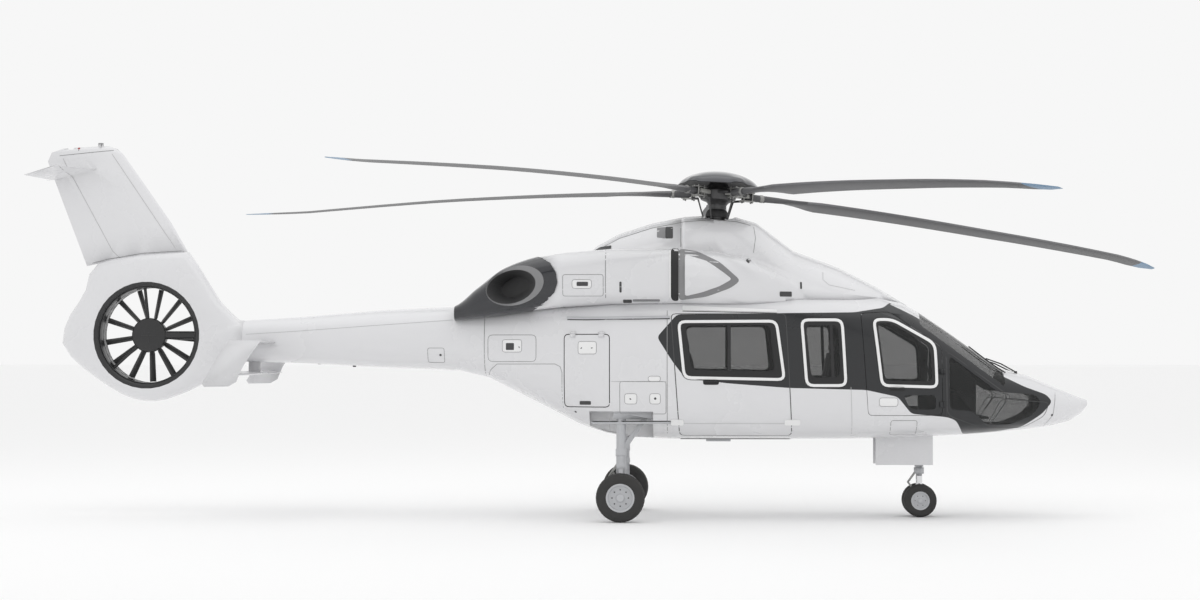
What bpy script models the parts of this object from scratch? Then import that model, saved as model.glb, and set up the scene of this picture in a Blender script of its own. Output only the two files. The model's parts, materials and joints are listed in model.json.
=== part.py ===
"""Twin-engine helicopter with a five-blade rotor and a shrouded tail fan, as separate solids.

Metres. +X is the nose, +Y is port, +Z is up. The origin is the flat face of the belly hook
pad under the rotor mast, and the aircraft stands on its wheels with the ground at GROUND.
"""
import math

import bmesh
import bpy
from mathutils import Matrix, Vector

# Driving dimensions
GROUND = -0.98
SEAT = 0.0003
DOOR_GAP = 0.006
BAGGAGE_GAP = 0.011
HINGE_RADIUS = 0.010
HINGE_LENGTH = 0.07
LEAF_END = 0.034
LEAF_DEPTH = -0.040
LEAF_TOP = 0.005
PILOT_HINGE = ((2.832, 0.919, 0.50), (2.832, 0.919, 0.92))
BAGGAGE_HINGE = ((-1.87, 0.880, 1.3945), (-1.50, 0.944, 1.3945))
WALL = 0.035
BOOM_WALL = 0.022
BODY_CLEARANCE = 0.0010
RING_POINTS = 36
STATION_STEP = 0.5
NACELLE_POINTS = 24
NACELLE_POWER = 2.7
FAIRING_POINTS = 28
SHROUD_SECTIONS = 36
WHEEL_POINTS = 24

NOSE_SEAM_X = 2.87
CABIN_REAR_X = -0.66
FUSELAGE_REAR_X = -3.02
BOOM_REAR_X = -6.25
RADOME_X = 4.29
COWL_SPLIT_X = -0.48
COWL_WALL = 0.045
COWL_HOLLOW = (-1.96, 0.53)

FLOOR_TOP = 0.34
FLOOR_THICKNESS = 0.03
BAY_CEILING = 0.41
NOSE_BAY_CEILING = 0.27
NOSE_BAY_ROOF = 0.30
NOSE_BAY_HALF_WIDTH = 0.21

ROTOR_RADIUS = 6.70
HUB = Vector((0.0, 0.0, 3.233))
ROTOR_TILT_FORWARD = math.radians(3.1)
ROTOR_TILT_SIDE = math.radians(3.0)
MAST_RADIUS = 0.105
BLADE_ROOT = 0.62
BLADE_DROOP = 0.42
BLADE_AZIMUTHS = (20.3, 88.3, 164.8, 227.7, 300.3)
HUB_FIRST_AZIMUTH = 16.3
CAP_PROFILE = (
    (0.50, 0.095), (0.535, 0.105), (0.52, 0.135), (0.44, 0.20), (0.30, 0.262), (0.12, 0.298),
    (0.02, 0.303),
)

FAN_CENTRE = Vector((-7.53, 0.0, 1.39))
DUCT_RADIUS = 0.63
DUCT_LIP_RADIUS = 0.705
DUCT_HALF_DEPTH = 0.21
NECK_MIDDLE = 1.31
FAN_BLADES = 13
FAN_PLANE_Y = 0.105
FAN_SHAFT_RADIUS = 0.040
POD_RADIUS = 0.223

NOSE_WHEEL = Vector((2.62, 0.0, GROUND + 0.215))
NOSE_WHEEL_RADIUS = 0.215
NOSE_WHEEL_WIDTH = 0.135
NOSE_WHEEL_OFFSET = 0.135
NOSE_LEG_END = -0.33
MAIN_WHEEL = Vector((-1.25, 1.20, GROUND + 0.31))
MAIN_WHEEL_RADIUS = 0.31
MAIN_WHEEL_WIDTH = 0.20

STABILISER_HALF_SPAN = 1.45

SIDES = (("left", 1), ("right", -1))

# The fuselage from nose to tail: x, belly, top, half width, height of the widest point,
# and the power of the section's curve above and below it (2 is an ellipse, more is boxier)
FUSELAGE = (
    (4.80, 0.47, 0.54, 0.04, 0.50, 2.0, 2.0),
    (4.72, 0.37, 0.57, 0.13, 0.47, 2.0, 2.0),
    (4.56, 0.27, 0.635, 0.26, 0.44, 2.1, 2.1),
    (4.32, 0.21, 0.735, 0.40, 0.43, 2.2, 2.2),
    (4.02, 0.17, 0.865, 0.54, 0.45, 2.3, 2.4),
    (3.64, 0.13, 0.965, 0.69, 0.52, 2.5, 2.7),
    (3.40, 0.11, 1.13, 0.77, 0.58, 2.5, 2.9),
    (3.02, 0.09, 1.405, 0.87, 0.68, 2.6, 3.2),
    (2.62, 0.07, 1.675, 0.95, 0.76, 2.8, 3.5),
    (2.36, 0.06, 1.815, 0.985, 0.81, 3.0, 3.6),
    (2.05, 0.05, 1.90, 1.01, 0.86, 3.3, 3.8),
    (1.50, 0.045, 1.91, 1.03, 0.90, 3.6, 4.0),
    (0.00, 0.04, 1.91, 1.04, 0.92, 3.8, 4.0),
    (-0.60, 0.04, 1.90, 1.03, 0.92, 3.8, 3.9),
    (-1.10, 0.06, 1.89, 1.00, 0.93, 3.7, 3.6),
    (-1.45, 0.11, 1.87, 0.96, 0.95, 3.6, 3.3),
    (-1.80, 0.225, 1.85, 0.90, 0.99, 3.4, 3.0),
    (-2.20, 0.43, 1.83, 0.81, 1.06, 3.2, 2.8),
    (-2.60, 0.63, 1.81, 0.70, 1.14, 3.0, 2.6),
    (-3.00, 0.83, 1.785, 0.58, 1.24, 2.8, 2.5),
    (-3.40, 0.925, 1.765, 0.49, 1.32, 2.6, 2.4),
    (-4.40, 0.965, 1.72, 0.39, 1.33, 2.5, 2.3),
    (-5.50, 1.02, 1.63, 0.31, 1.31, 2.4, 2.2),
    (-6.25, 1.04, 1.585, 0.26, 1.31, 2.4, 2.2),
)

# One engine nacelle: x, bottom, top, centre line's y, half width
NACELLE = (
    (1.25, 1.70, 1.92, 0.36, 0.24),
    (0.85, 1.66, 2.16, 0.42, 0.34),
    (0.40, 1.68, 2.37, 0.49, 0.41),
    (0.00, 1.72, 2.46, 0.54, 0.43),
    (-0.50, 1.76, 2.50, 0.57, 0.43),
    (-1.40, 1.77, 2.50, 0.57, 0.42),
    (-2.00, 1.74, 2.45, 0.56, 0.40),
    (-2.40, 1.70, 2.38, 0.55, 0.38),
    (-2.80, 1.64, 2.23, 0.53, 0.34),
    (-3.15, 1.60, 1.97, 0.49, 0.27),
    (-3.42, 1.58, 1.76, 0.44, 0.17),
)

# The mast fairing and the slope ahead of it: x, top, half width at the base, power
MAST_FAIRING = (
    (2.44, 1.79, 0.40, 2.4),
    (2.07, 2.015, 0.62, 2.3),
    (1.56, 2.28, 0.72, 2.2),
    (0.99, 2.49, 0.72, 2.1),
    (0.70, 2.71, 0.66, 2.0),
    (0.50, 2.86, 0.62, 2.0),
    (0.25, 2.935, 0.60, 2.0),
    (-0.05, 2.965, 0.60, 2.0),
    (-0.43, 2.945, 0.60, 2.0),
    (-0.86, 2.86, 0.58, 2.0),
    (-1.29, 2.725, 0.54, 2.0),
    (-1.58, 2.57, 0.48, 2.1),
    (-1.75, 2.42, 0.42, 2.2),
    (-2.40, 2.20, 0.36, 2.4),
    (-3.20, 1.80, 0.26, 2.4),
)
FAIRING_BASE = 1.60
FAIRING_FOOT = 0.10

# Outlines in the side view, x then z, anticlockwise or clockwise as drawn
SLIDING_DOOR = ((-0.612, 1.655), (0.845, 1.655), (0.925, 0.10), (-0.503, 0.10))
PILOT_DOOR = ((1.795, 1.665), (2.17, 1.685), (2.835, 1.235), (2.835, 0.36), (1.885, 0.36))
CABIN_WINDOW = ((-0.43, 1.56), (0.65, 1.56), (0.765, 0.86), (-0.345, 0.86))
SIDE_WINDOW = ((1.035, 1.58), (1.56, 1.58), (1.60, 0.79), (1.10, 0.79))
PILOT_WINDOW = ((1.975, 1.56), (2.20, 1.56), (2.69, 1.27), (2.73, 0.78), (2.06, 0.78))
PILOT_LOW_WINDOW = ((2.33, 0.62), (2.745, 0.62), (2.745, 0.44), (2.42, 0.44))
NOSE_WINDOW = (
    (2.925, 1.12), (3.56, 0.66), (4.06, 0.62), (4.14, 0.52), (4.02, 0.36),
    (3.74, 0.24), (3.42, 0.24), (3.22, 0.42), (2.925, 0.44),
)
WINDSCREEN = ((2.56, 1.52), (2.60, 1.80), (2.72, 1.80), (3.66, 1.10), (3.66, 0.72))
BAGGAGE_DOOR = ((-1.985, 1.40), (-1.39, 1.40), (-1.39, 0.46), (-1.985, 0.46))
END_PLATE = (
    (-6.175, 1.315), (-5.77, 1.315), (-5.88, 1.18), (-6.015, 0.968), (-6.09, 0.79),
    (-6.19, 0.734), (-6.49, 0.729), (-6.52, 0.77), (-6.39, 0.987), (-6.235, 1.25),
)
LOWER_PLANE = (
    (-6.44, 0.875), (-6.40, 0.905), (-6.22, 0.915), (-6.04, 0.895), (-6.02, 0.88), (-6.20, 0.862),
)
UPPER_PLANE = (
    (-6.16, 1.285), (-6.12, 1.305), (-5.98, 1.312), (-5.83, 1.300), (-5.80, 1.288), (-5.98, 1.272),
)
EXHAUST_FAIRING = (
    (-3.60, 1.50), (-3.02, 1.60), (-2.51, 1.67), (-2.23, 1.80), (-2.09, 1.97),
    (-2.09, 2.16), (-2.19, 2.30), (-2.40, 2.40), (-2.60, 2.60), (-3.60, 2.60),
)

# The shroud round the tail fan: its outer edge in the side view, from the boom's underside
# round the back to the boom's top, with the half thickness of the edge there
SHROUD_EDGE = (
    (-6.25, 1.045, 0.16), (-6.55, 0.90, 0.09), (-6.82, 0.745, 0.03), (-7.05, 0.63, 0.0),
    (-7.28, 0.545, 0.0), (-7.51, 0.505, 0.0), (-7.74, 0.545, 0.0), (-7.95, 0.63, 0.0),
    (-8.18, 0.78, 0.0), (-8.44, 0.97, 0.0), (-8.62, 1.14, 0.0), (-8.70, 1.28, 0.0),
    (-8.69, 1.45, 0.0), (-8.59, 1.68, 0.0), (-8.45, 1.88, 0.0), (-8.36, 2.06, 0.01),
    (-8.34, 2.20, 0.03), (-8.36, 2.31, 0.05), (-8.00, 2.40, 0.085), (-7.62, 2.455, 0.105),
    (-7.25, 2.48, 0.10), (-7.02, 2.50, 0.05), (-6.84, 2.24, 0.03), (-6.67, 1.96, 0.04),
    (-6.54, 1.75, 0.08), (-6.40, 1.635, 0.14), (-6.25, 1.58, 0.17),
)

# The fin above it: height of the leading edge, leading x, height of the trailing edge,
# trailing x, half thickness
FIN = (
    (2.40, -6.97, 2.24, -8.35, 0.097),
    (2.88, -7.25, 2.68, -8.52, 0.085),
    (3.35, -7.58, 3.12, -8.69, 0.072),
    (3.80, -7.90, 3.70, -8.91, 0.058),
    (3.87, -7.98, 3.82, -8.86, 0.045),
    (3.905, -8.10, 3.875, -8.70, 0.022),
)
FIN_FOOT_Z = 2.30

# The plane near the fin's top: y, leading x and z, trailing x and z, half thickness
WINGLET = (
    (0.02, -8.20, 3.59, -8.86, 3.460, 0.022),
    (0.30, -8.45, 3.60, -8.98, 3.472, 0.014),
    (0.52, -8.66, 3.61, -9.08, 3.487, 0.006),
)

WHITE = ("white_paint", (0.80, 0.80, 0.82), 0.28, 0.0)
BLACK = ("black_paint", (0.02, 0.02, 0.024), 0.25, 0.0)
GLASS = ("tinted_glass", (0.10, 0.11, 0.11), 0.08, 0.0)
METAL = ("grey_metal", (0.42, 0.43, 0.45), 0.40, 0.9)
BLADE = ("blade_grey", (0.10, 0.10, 0.11), 0.45, 0.0)
RUBBER = ("tyre_rubber", (0.03, 0.03, 0.03), 0.85, 0.0)
LEATHER = ("seat_leather", (0.12, 0.12, 0.13), 0.60, 0.0)
FLOORING = ("cabin_lining", (0.20, 0.20, 0.21), 0.70, 0.0)
ENGINE = ("engine_grey", (0.35, 0.35, 0.36), 0.50, 0.8)


def clear_scene():
    for item in list(bpy.data.objects):
        bpy.data.objects.remove(item, do_unlink=True)


def new_collection(name):
    group = bpy.data.collections.new(name)
    bpy.context.scene.collection.children.link(group)
    return group


def surface(finish):
    name, colour, roughness, metallic = finish
    found = bpy.data.materials.get(name)
    if found:
        return found
    made = bpy.data.materials.new(name)
    made.use_nodes = True
    shader = made.node_tree.nodes["Principled BSDF"]
    shader.inputs["Base Color"].default_value = (*colour, 1.0)
    shader.inputs["Roughness"].default_value = roughness
    shader.inputs["Metallic"].default_value = metallic
    return made


def place(name, bm, finish=None, smooth=True):
    """A new object from a bmesh: a part with its finish, or a cutter with none."""
    bmesh.ops.recalc_face_normals(bm, faces=bm.faces)
    mesh = bpy.data.meshes.new(name)
    bm.to_mesh(mesh)
    bm.free()
    item = bpy.data.objects.new(name, mesh)
    if finish:
        mesh.materials.append(surface(finish))
        PARTS.objects.link(item)
        if smooth:
            mesh.shade_smooth()
            mesh.set_sharp_from_angle(angle=math.radians(35))
    else:
        CUTTERS.objects.link(item)
        item.hide_render = True
        item.display_type = "WIRE"
    return item


def combine(target, operation, *tools):
    for tool in tools:
        step = target.modifiers.new(f"{operation.lower()}_{tool.name}", "BOOLEAN")
        step.operation = operation
        step.object = tool
        step.solver = "EXACT"


def cut(target, *tools):
    combine(target, "DIFFERENCE", *tools)


def keep(target, *tools):
    combine(target, "INTERSECT", *tools)


def join(target, *tools):
    combine(target, "UNION", *tools)


def smooth_row(table, x):
    """The table's row at x, on a smooth curve through its rows."""
    rows = sorted(table)
    x = min(max(x, rows[0][0]), rows[-1][0])
    index = max(i for i in range(len(rows) - 1) if rows[i][0] <= x)
    before = rows[max(index - 1, 0)]
    here = rows[index]
    after = rows[index + 1]
    beyond = rows[min(index + 2, len(rows) - 1)]
    step = after[0] - here[0]
    t = (x - here[0]) / step
    values = []
    for b, h, a, c in zip(before[1:], here[1:], after[1:], beyond[1:]):
        start = slope(before[0], b, here[0], h, after[0], a) * step
        end = slope(here[0], h, after[0], a, beyond[0], c) * step
        values.append(
            h * (2 * t**3 - 3 * t**2 + 1) + start * (t**3 - 2 * t**2 + t)
            + a * (3 * t**2 - 2 * t**3) + end * (t**3 - t**2)
        )
    return values


def slope(x0, y0, x1, y1, x2, y2):
    """A tangent at the middle point that never swings past its neighbours."""
    if x1 == x0 or x2 == x1:
        return (y2 - y0) / (x2 - x0)
    left = (y1 - y0) / (x1 - x0)
    right = (y2 - y1) / (x2 - x1)
    if left * right <= 0:
        return 0.0
    return 2 * left * right / (left + right)


def rounded_power(angle, power):
    c = math.cos(angle)
    s = math.sin(angle)
    return (
        math.copysign(abs(c) ** (2 / power), c),
        math.copysign(abs(s) ** (2 / power), s),
    )


def section(x, y_mid, z_mid, half_width, up, down, power_up, power_down, points=RING_POINTS):
    ring = []
    for i in range(points):
        angle = 2 * math.pi * i / points
        power = power_up if math.sin(angle) >= 0 else power_down
        c, s = rounded_power(angle, power)
        height = up if s >= 0 else down
        ring.append(Vector((x, y_mid + half_width * c, z_mid + height * s)))
    return ring


def loft(rings):
    """A closed skin over rings of equal length, capped flat at both ends."""
    bm = bmesh.new()
    loops = [[bm.verts.new(point) for point in ring] for ring in rings]
    count = len(loops[0])
    for first, second in zip(loops, loops[1:]):
        for i in range(count):
            j = (i + 1) % count
            bm.faces.new((first[i], first[j], second[j], second[i]))
    bm.faces.new(loops[0])
    bm.faces.new(reversed(loops[-1]))
    return bm


def fuselage_stations():
    """The table's own stations and evenly spaced ones between them."""
    rows = sorted(row[0] for row in FUSELAGE)
    stations = []
    for a, b in zip(rows, rows[1:]):
        steps = max(1, round((b - a) / STATION_STEP))
        stations += [a + (b - a) * k / steps for k in range(steps)]
    return stations + [rows[-1]]


def fuselage_ring(x, grow):
    belly, top, width, middle, power_up, power_down = smooth_row(FUSELAGE, x)
    return section(
        x, 0.0, middle, width + grow, top - middle + grow, middle - belly + grow,
        power_up, power_down,
    )


def fuselage_skin(name, x_rear, x_front, grow=0.0, finish=None):
    """The fuselage's outer skin between two stations, moved out by grow.

    An end between two stations lies on the straight run between their rings, so that
    every piece cut from the skin has the same facets.
    """
    stations = fuselage_stations()
    rings = []
    for x in (x_rear, *[x for x in stations if x_rear + 1e-4 < x < x_front - 1e-4], x_front):
        before = max((s for s in stations if s <= x), default=stations[0])
        after = min((s for s in stations if s > before), default=stations[-1])
        t = (x - before) / (after - before) if after > before else 0.0
        rings.append([
            a.lerp(b, t) for a, b in zip(fuselage_ring(before, grow), fuselage_ring(after, grow))
        ])
    return place(name, loft(rings), finish)


def trim(bm, x_low, x_high):
    """Cut a closed form off square at two stations and close it again."""
    for x, side in ((x_low, -1), (x_high, 1)):
        bmesh.ops.bisect_plane(
            bm, geom=bm.verts[:] + bm.edges[:] + bm.faces[:], plane_co=(x, 0, 0),
            plane_no=(side, 0, 0), clear_outer=True,
        )
        open_edges = [edge for edge in bm.edges if edge.is_boundary]
        bmesh.ops.edgeloop_fill(bm, edges=open_edges)
    return bm


def nacelle_skin(name, side, grow=0.0, limits=None, finish=None):
    rings = []
    for x, bottom, top, y_mid, half_width in reversed(NACELLE):
        middle = (bottom + top) / 2
        half = (top - bottom) / 2 + grow
        rings.append(section(
            x, side * y_mid, middle, half_width + grow, half, half, NACELLE_POWER, NACELLE_POWER,
            NACELLE_POINTS,
        ))
    bm = loft(rings)
    return place(name, trim(bm, *limits) if limits else bm, finish)


def mast_fairing_skin(name, grow=0.0, finish=None, limits=None):
    rings = []
    for x, top, half_width, power in reversed(MAST_FAIRING):
        height = top - FAIRING_BASE + grow
        rings.append(section(
            x, 0.0, FAIRING_BASE, half_width + grow, height, FAIRING_FOOT, power, 2.0,
            FAIRING_POINTS,
        ))
    bm = loft(rings)
    return place(name, trim(bm, *limits) if limits else bm, finish)


def box(name, low, high, finish=None, bevel=0.0):
    bm = bmesh.new()
    size = Vector(high) - Vector(low)
    middle = (Vector(high) + Vector(low)) / 2
    bmesh.ops.create_cube(
        bm, size=1.0, matrix=Matrix.Translation(middle) @ Matrix.Diagonal((*size, 1)),
    )
    if bevel:
        bmesh.ops.bevel(
            bm, geom=list(bm.edges), offset=bevel, segments=2, profile=0.5, affect="EDGES",
        )
    return place(name, bm, finish)


def rod(name, start, end, radius, finish=None, radius_end=None, sides=16):
    bm = bmesh.new()
    add_rod(bm, start, end, radius, radius_end, sides)
    return place(name, bm, finish)


def add_rod(bm, start, end, radius, radius_end=None, sides=16):
    start = Vector(start)
    end = Vector(end)
    turn = (end - start).to_track_quat("Z", "Y").to_matrix().to_4x4()
    bmesh.ops.create_cone(
        bm, cap_ends=True, segments=sides, radius1=radius,
        radius2=radius if radius_end is None else radius_end, depth=(end - start).length,
        matrix=Matrix.Translation((start + end) / 2) @ turn,
    )


def rounded_outline(points, radius, steps=3):
    """The outline with each corner replaced by a short curve."""
    result = []
    count = len(points)
    for i, point in enumerate(points):
        corner = Vector(point)
        before = Vector(points[i - 1]) - corner
        after = Vector(points[(i + 1) % count]) - corner
        reach = min(radius, before.length * 0.4, after.length * 0.4)
        start = corner + before.normalized() * reach
        end = corner + after.normalized() * reach
        for k in range(steps + 1):
            t = k / steps
            result.append((1 - t) ** 2 * start + 2 * t * (1 - t) * corner + t * t * end)
    return result


def grown_outline(points, grow):
    """The outline moved outwards by grow along its edges' normals."""
    corners = [Vector(point) for point in points]
    area = sum(
        a.x * b.y - b.x * a.y for a, b in zip(corners, corners[1:] + corners[:1])
    )
    sign = 1 if area > 0 else -1
    result = []
    for i, corner in enumerate(corners):
        into = (corner - corners[i - 1]).normalized()
        out = (corners[(i + 1) % len(corners)] - corner).normalized()
        normal_in = Vector((into.y, -into.x)) * sign
        normal_out = Vector((out.y, -out.x)) * sign
        mean = (normal_in + normal_out).normalized()
        result.append(corner + mean * grow / max(mean.dot(normal_in), 0.3))
    return result


def side_prism(name, outline, y_from, y_to, finish=None, radius=0.0, grow=0.0):
    """An outline in the side view, extruded across the aircraft."""
    points = grown_outline(outline, grow) if grow else [Vector(point) for point in outline]
    if radius:
        points = rounded_outline(points, radius)
    bm = bmesh.new()
    ring = [bm.verts.new((point.x, y_from, point.y)) for point in points]
    face = bm.faces.new(ring)
    moved = bmesh.ops.extrude_face_region(bm, geom=[face])
    verts = [item for item in moved["geom"] if isinstance(item, bmesh.types.BMVert)]
    bmesh.ops.translate(bm, verts=verts, vec=(0.0, y_to - y_from, 0.0))
    return place(name, bm, finish)


def reach(side, inner=0.60, outer=1.4):
    return side * inner, side * outer


def build_fuselage():
    """Cabin, nose and rear shells with their doors, windows and glass."""
    hollow = fuselage_skin("hollow", CABIN_REAR_X - 0.2, 4.07, -WALL)
    rear_hollow = fuselage_skin("rear_hollow", FUSELAGE_REAR_X - 0.2, CABIN_REAR_X - WALL, -WALL)
    bays = [box("bay_nose_outer", (1.98, -0.25, -0.2), (2.86 - SEAT, 0.25, NOSE_BAY_ROOF))]
    wells = [box(
        "bay_nose", (2.02, -NOSE_BAY_HALF_WIDTH, -0.3), (2.80, NOSE_BAY_HALF_WIDTH, NOSE_BAY_CEILING),
    )]
    for name, side in SIDES:
        bays.append(box(f"bay_main_outer_{name}", *sorted_corners(
            (-1.70, side * 0.42, -0.2), (-0.80, side * 1.3, BAY_CEILING + WALL))))
        wells.append(box(f"bay_main_{name}", *sorted_corners(
            (-1.66, side * 0.45, -0.3), (-0.84, side * 1.4, BAY_CEILING))))
    cut(hollow, bays[0])
    cut(rear_hollow, *bays[1:])

    shells = {}
    for name, rear, front in (
        ("rear_fuselage", FUSELAGE_REAR_X, CABIN_REAR_X - SEAT),
        ("cabin_shell", CABIN_REAR_X, NOSE_SEAM_X - SEAT),
        ("nose_shell", NOSE_SEAM_X, RADOME_X - SEAT),
    ):
        shells[name] = fuselage_skin(name, rear, front, 0.0, WHITE)
        cut(shells[name], rear_hollow if name == "rear_fuselage" else hollow)
    cut(shells["cabin_shell"], wells[0])
    cut(shells["rear_fuselage"], *wells[1:])

    for name, side in SIDES:
        span = reach(side)
        door_hole = side_prism(f"hole_sliding_{name}", SLIDING_DOOR, *span, radius=0.06)
        pilot_hole = side_prism(f"hole_pilot_{name}", PILOT_DOOR, *span, radius=0.06)
        window_hole = side_prism(f"hole_side_window_{name}", SIDE_WINDOW, *span, radius=0.07)
        cut(shells["cabin_shell"], door_hole, pilot_hole, window_hole)
        baggage_hole = side_prism(f"hole_baggage_{name}", BAGGAGE_DOOR, *span, radius=0.06)
        cut(shells["rear_fuselage"], baggage_hole)
        nose_hole = side_prism(
            f"hole_nose_window_{name}", NOSE_WINDOW, side * 0.11, side * 1.4, radius=0.06,
        )
        screen_hole = side_prism(
            f"hole_windscreen_{name}", WINDSCREEN, side * 0.03, side * 1.2, radius=0.05,
        )
        cut(shells["nose_shell"], nose_hole, screen_hole)
        cut(shells["cabin_shell"], screen_hole)

        build_door(f"sliding_door_{name}", side, SLIDING_DOOR, SEAT, CABIN_WINDOW)
        pilot_door = build_door(
            f"pilot_door_{name}", side, PILOT_DOOR, DOOR_GAP, PILOT_WINDOW, PILOT_LOW_WINDOW,
        )
        baggage_door = build_door(f"baggage_door_{name}", side, BAGGAGE_DOOR, BAGGAGE_GAP)
        add_hinges(pilot_door, shells["cabin_shell"], PILOT_HINGE, side, Vector((1, 0, 0)))
        add_hinges(baggage_door, shells["rear_fuselage"], BAGGAGE_HINGE, side, Vector((0, 0, 1)))
        build_glass(f"cabin_glass_{name}", side, CABIN_WINDOW, (-0.6, 1.0))
        build_glass(f"side_glass_{name}", side, SIDE_WINDOW, (0.8, 1.8))
        build_glass(f"pilot_glass_{name}", side, PILOT_WINDOW, (1.8, 2.9))
        build_glass(f"pilot_low_glass_{name}", side, PILOT_LOW_WINDOW, (2.2, 2.85), radius=0.05)
        build_glass(f"nose_glass_{name}", side, NOSE_WINDOW, (2.8, 4.28), inner=0.11, radius=0.06)
        build_glass(f"windscreen_{name}", side, WINDSCREEN, (2.3, 3.9), inner=0.03, radius=0.05)

    fuselage_skin("nose_cone", RADOME_X, 4.80, 0.0, WHITE)


def wall_slice(name, x_rear, x_front, outside, inside, finish):
    """A slice of the skin's thickness between two depths below the outer surface."""
    item = fuselage_skin(name, x_rear, x_front, -outside, finish)
    core = fuselage_skin(f"{name}_core", x_rear - 0.1, x_front + 0.1, -inside)
    cut(item, core)
    return item


def add_hinges(door, frame, line, side, into_frame):
    """Two knuckles on the door's edge, each with a leaf on the door and one on the frame."""
    start, end = (Vector((x, side * y, z)) for x, y, z in line)
    axis = (end - start).normalized()
    outward = into_frame.cross(axis).normalized()
    if outward.y * side < 0:
        outward.negate()
    for number, share in enumerate((0.0, 1.0)):
        at = start.lerp(end, share)
        half = axis * HINGE_LENGTH / 2
        name = f"{door.name}_hinge_{number}"
        join(door, rod(f"{name}_knuckle", at - half, at + half, HINGE_RADIUS, sides=12))
        join(door, leaf(f"{name}_door_leaf", at, axis, -into_frame, outward, 0.002))
        join(frame, leaf(f"{name}_frame_leaf", at, axis, into_frame, outward, HINGE_RADIUS + SEAT))


def leaf(name, at, axis, way, outward, near):
    """A hinge leaf from near the pin to its end, sunk through the skin."""
    bm = bmesh.new()
    turn = Matrix((axis, way, outward)).transposed().to_4x4()
    middle = at + way * (near + LEAF_END) / 2 + outward * (LEAF_DEPTH + LEAF_TOP) / 2
    size = Matrix.Diagonal((HINGE_LENGTH, LEAF_END - near, LEAF_TOP - LEAF_DEPTH, 1))
    bmesh.ops.create_cube(bm, size=1.0, matrix=Matrix.Translation(middle) @ turn @ size)
    return place(name, bm)


def build_door(name, side, outline, gap, window=None, low_window=None):
    x_rear = min(point[0] for point in outline) - 0.05
    x_front = max(point[0] for point in outline) + 0.05
    door = wall_slice(name, x_rear, x_front, 0.0, WALL, WHITE)
    edge = side_prism(
        f"{name}_edge", outline, *reach(side, 0.60 + gap), radius=0.06 - gap, grow=-gap,
    )
    keep(door, edge)
    if window:
        cut(door, side_prism(f"{name}_window", window, *reach(side), radius=0.07))
    if low_window:
        cut(door, side_prism(f"{name}_low_window", low_window, *reach(side), radius=0.05))
    return door


def build_glass(name, side, outline, x_span, inner=0.60, radius=0.07):
    pane = wall_slice(name, x_span[0], x_span[1], 0.004, 0.012, GLASS)
    edge = side_prism(
        f"{name}_edge", outline, *reach(side, inner + SEAT), radius=radius, grow=-SEAT,
    )
    keep(pane, edge)
    return pane


def build_cabin():
    floor = fuselage_skin("cabin_floor", CABIN_REAR_X + SEAT, 3.45, -WALL - 0.003, FLOORING)
    keep(floor, box("floor_slab", (-1, -1.3, FLOOR_TOP - FLOOR_THICKNESS), (4, 1.3, FLOOR_TOP)))

    for name, side in SIDES:
        build_seat(f"pilot_seat_{name}", 1.95, side * 0.46, 0.48, 1)
    build_seat("cabin_seats_rear", -0.42, 0.0, 1.60, 1)
    build_seat("cabin_seats_front", 1.52, 0.0, 1.60, -1)

    panel = side_prism(
        "instrument_panel",
        ((3.30, FLOOR_TOP + SEAT), (3.30, 0.80), (3.12, 1.02), (2.96, 1.02), (2.90, 0.72),
         (2.62, 0.62), (2.62, FLOOR_TOP + SEAT)),
        -0.52, 0.52, BLACK,
    )
    for name, side in SIDES:
        cut(panel, box(f"foot_space_{name}", *sorted_corners(
            (2.4, side * 0.16, 0.2), (3.02, side * 0.8, 0.70))))


def sorted_corners(a, b):
    low = [min(p, q) for p, q in zip(a, b)]
    high = [max(p, q) for p, q in zip(a, b)]
    return low, high


def build_seat(name, x, y, width, facing):
    """A seat or a row: base, cushion, back and head rest in one padded form."""
    base = FLOOR_TOP + SEAT
    outline = (
        (0.05, base), (0.40, base), (0.40, base + 0.16), (0.54, base + 0.22), (0.54, base + 0.40),
        (0.14, base + 0.36), (0.02, base + 1.02), (-0.08, base + 1.02), (0.02, base + 0.22),
        (0.05, base + 0.16),
    )
    points = [(x + facing * px, pz) for px, pz in outline]
    side_prism(name, points, y - width / 2, y + width / 2, LEATHER, radius=0.04)


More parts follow.
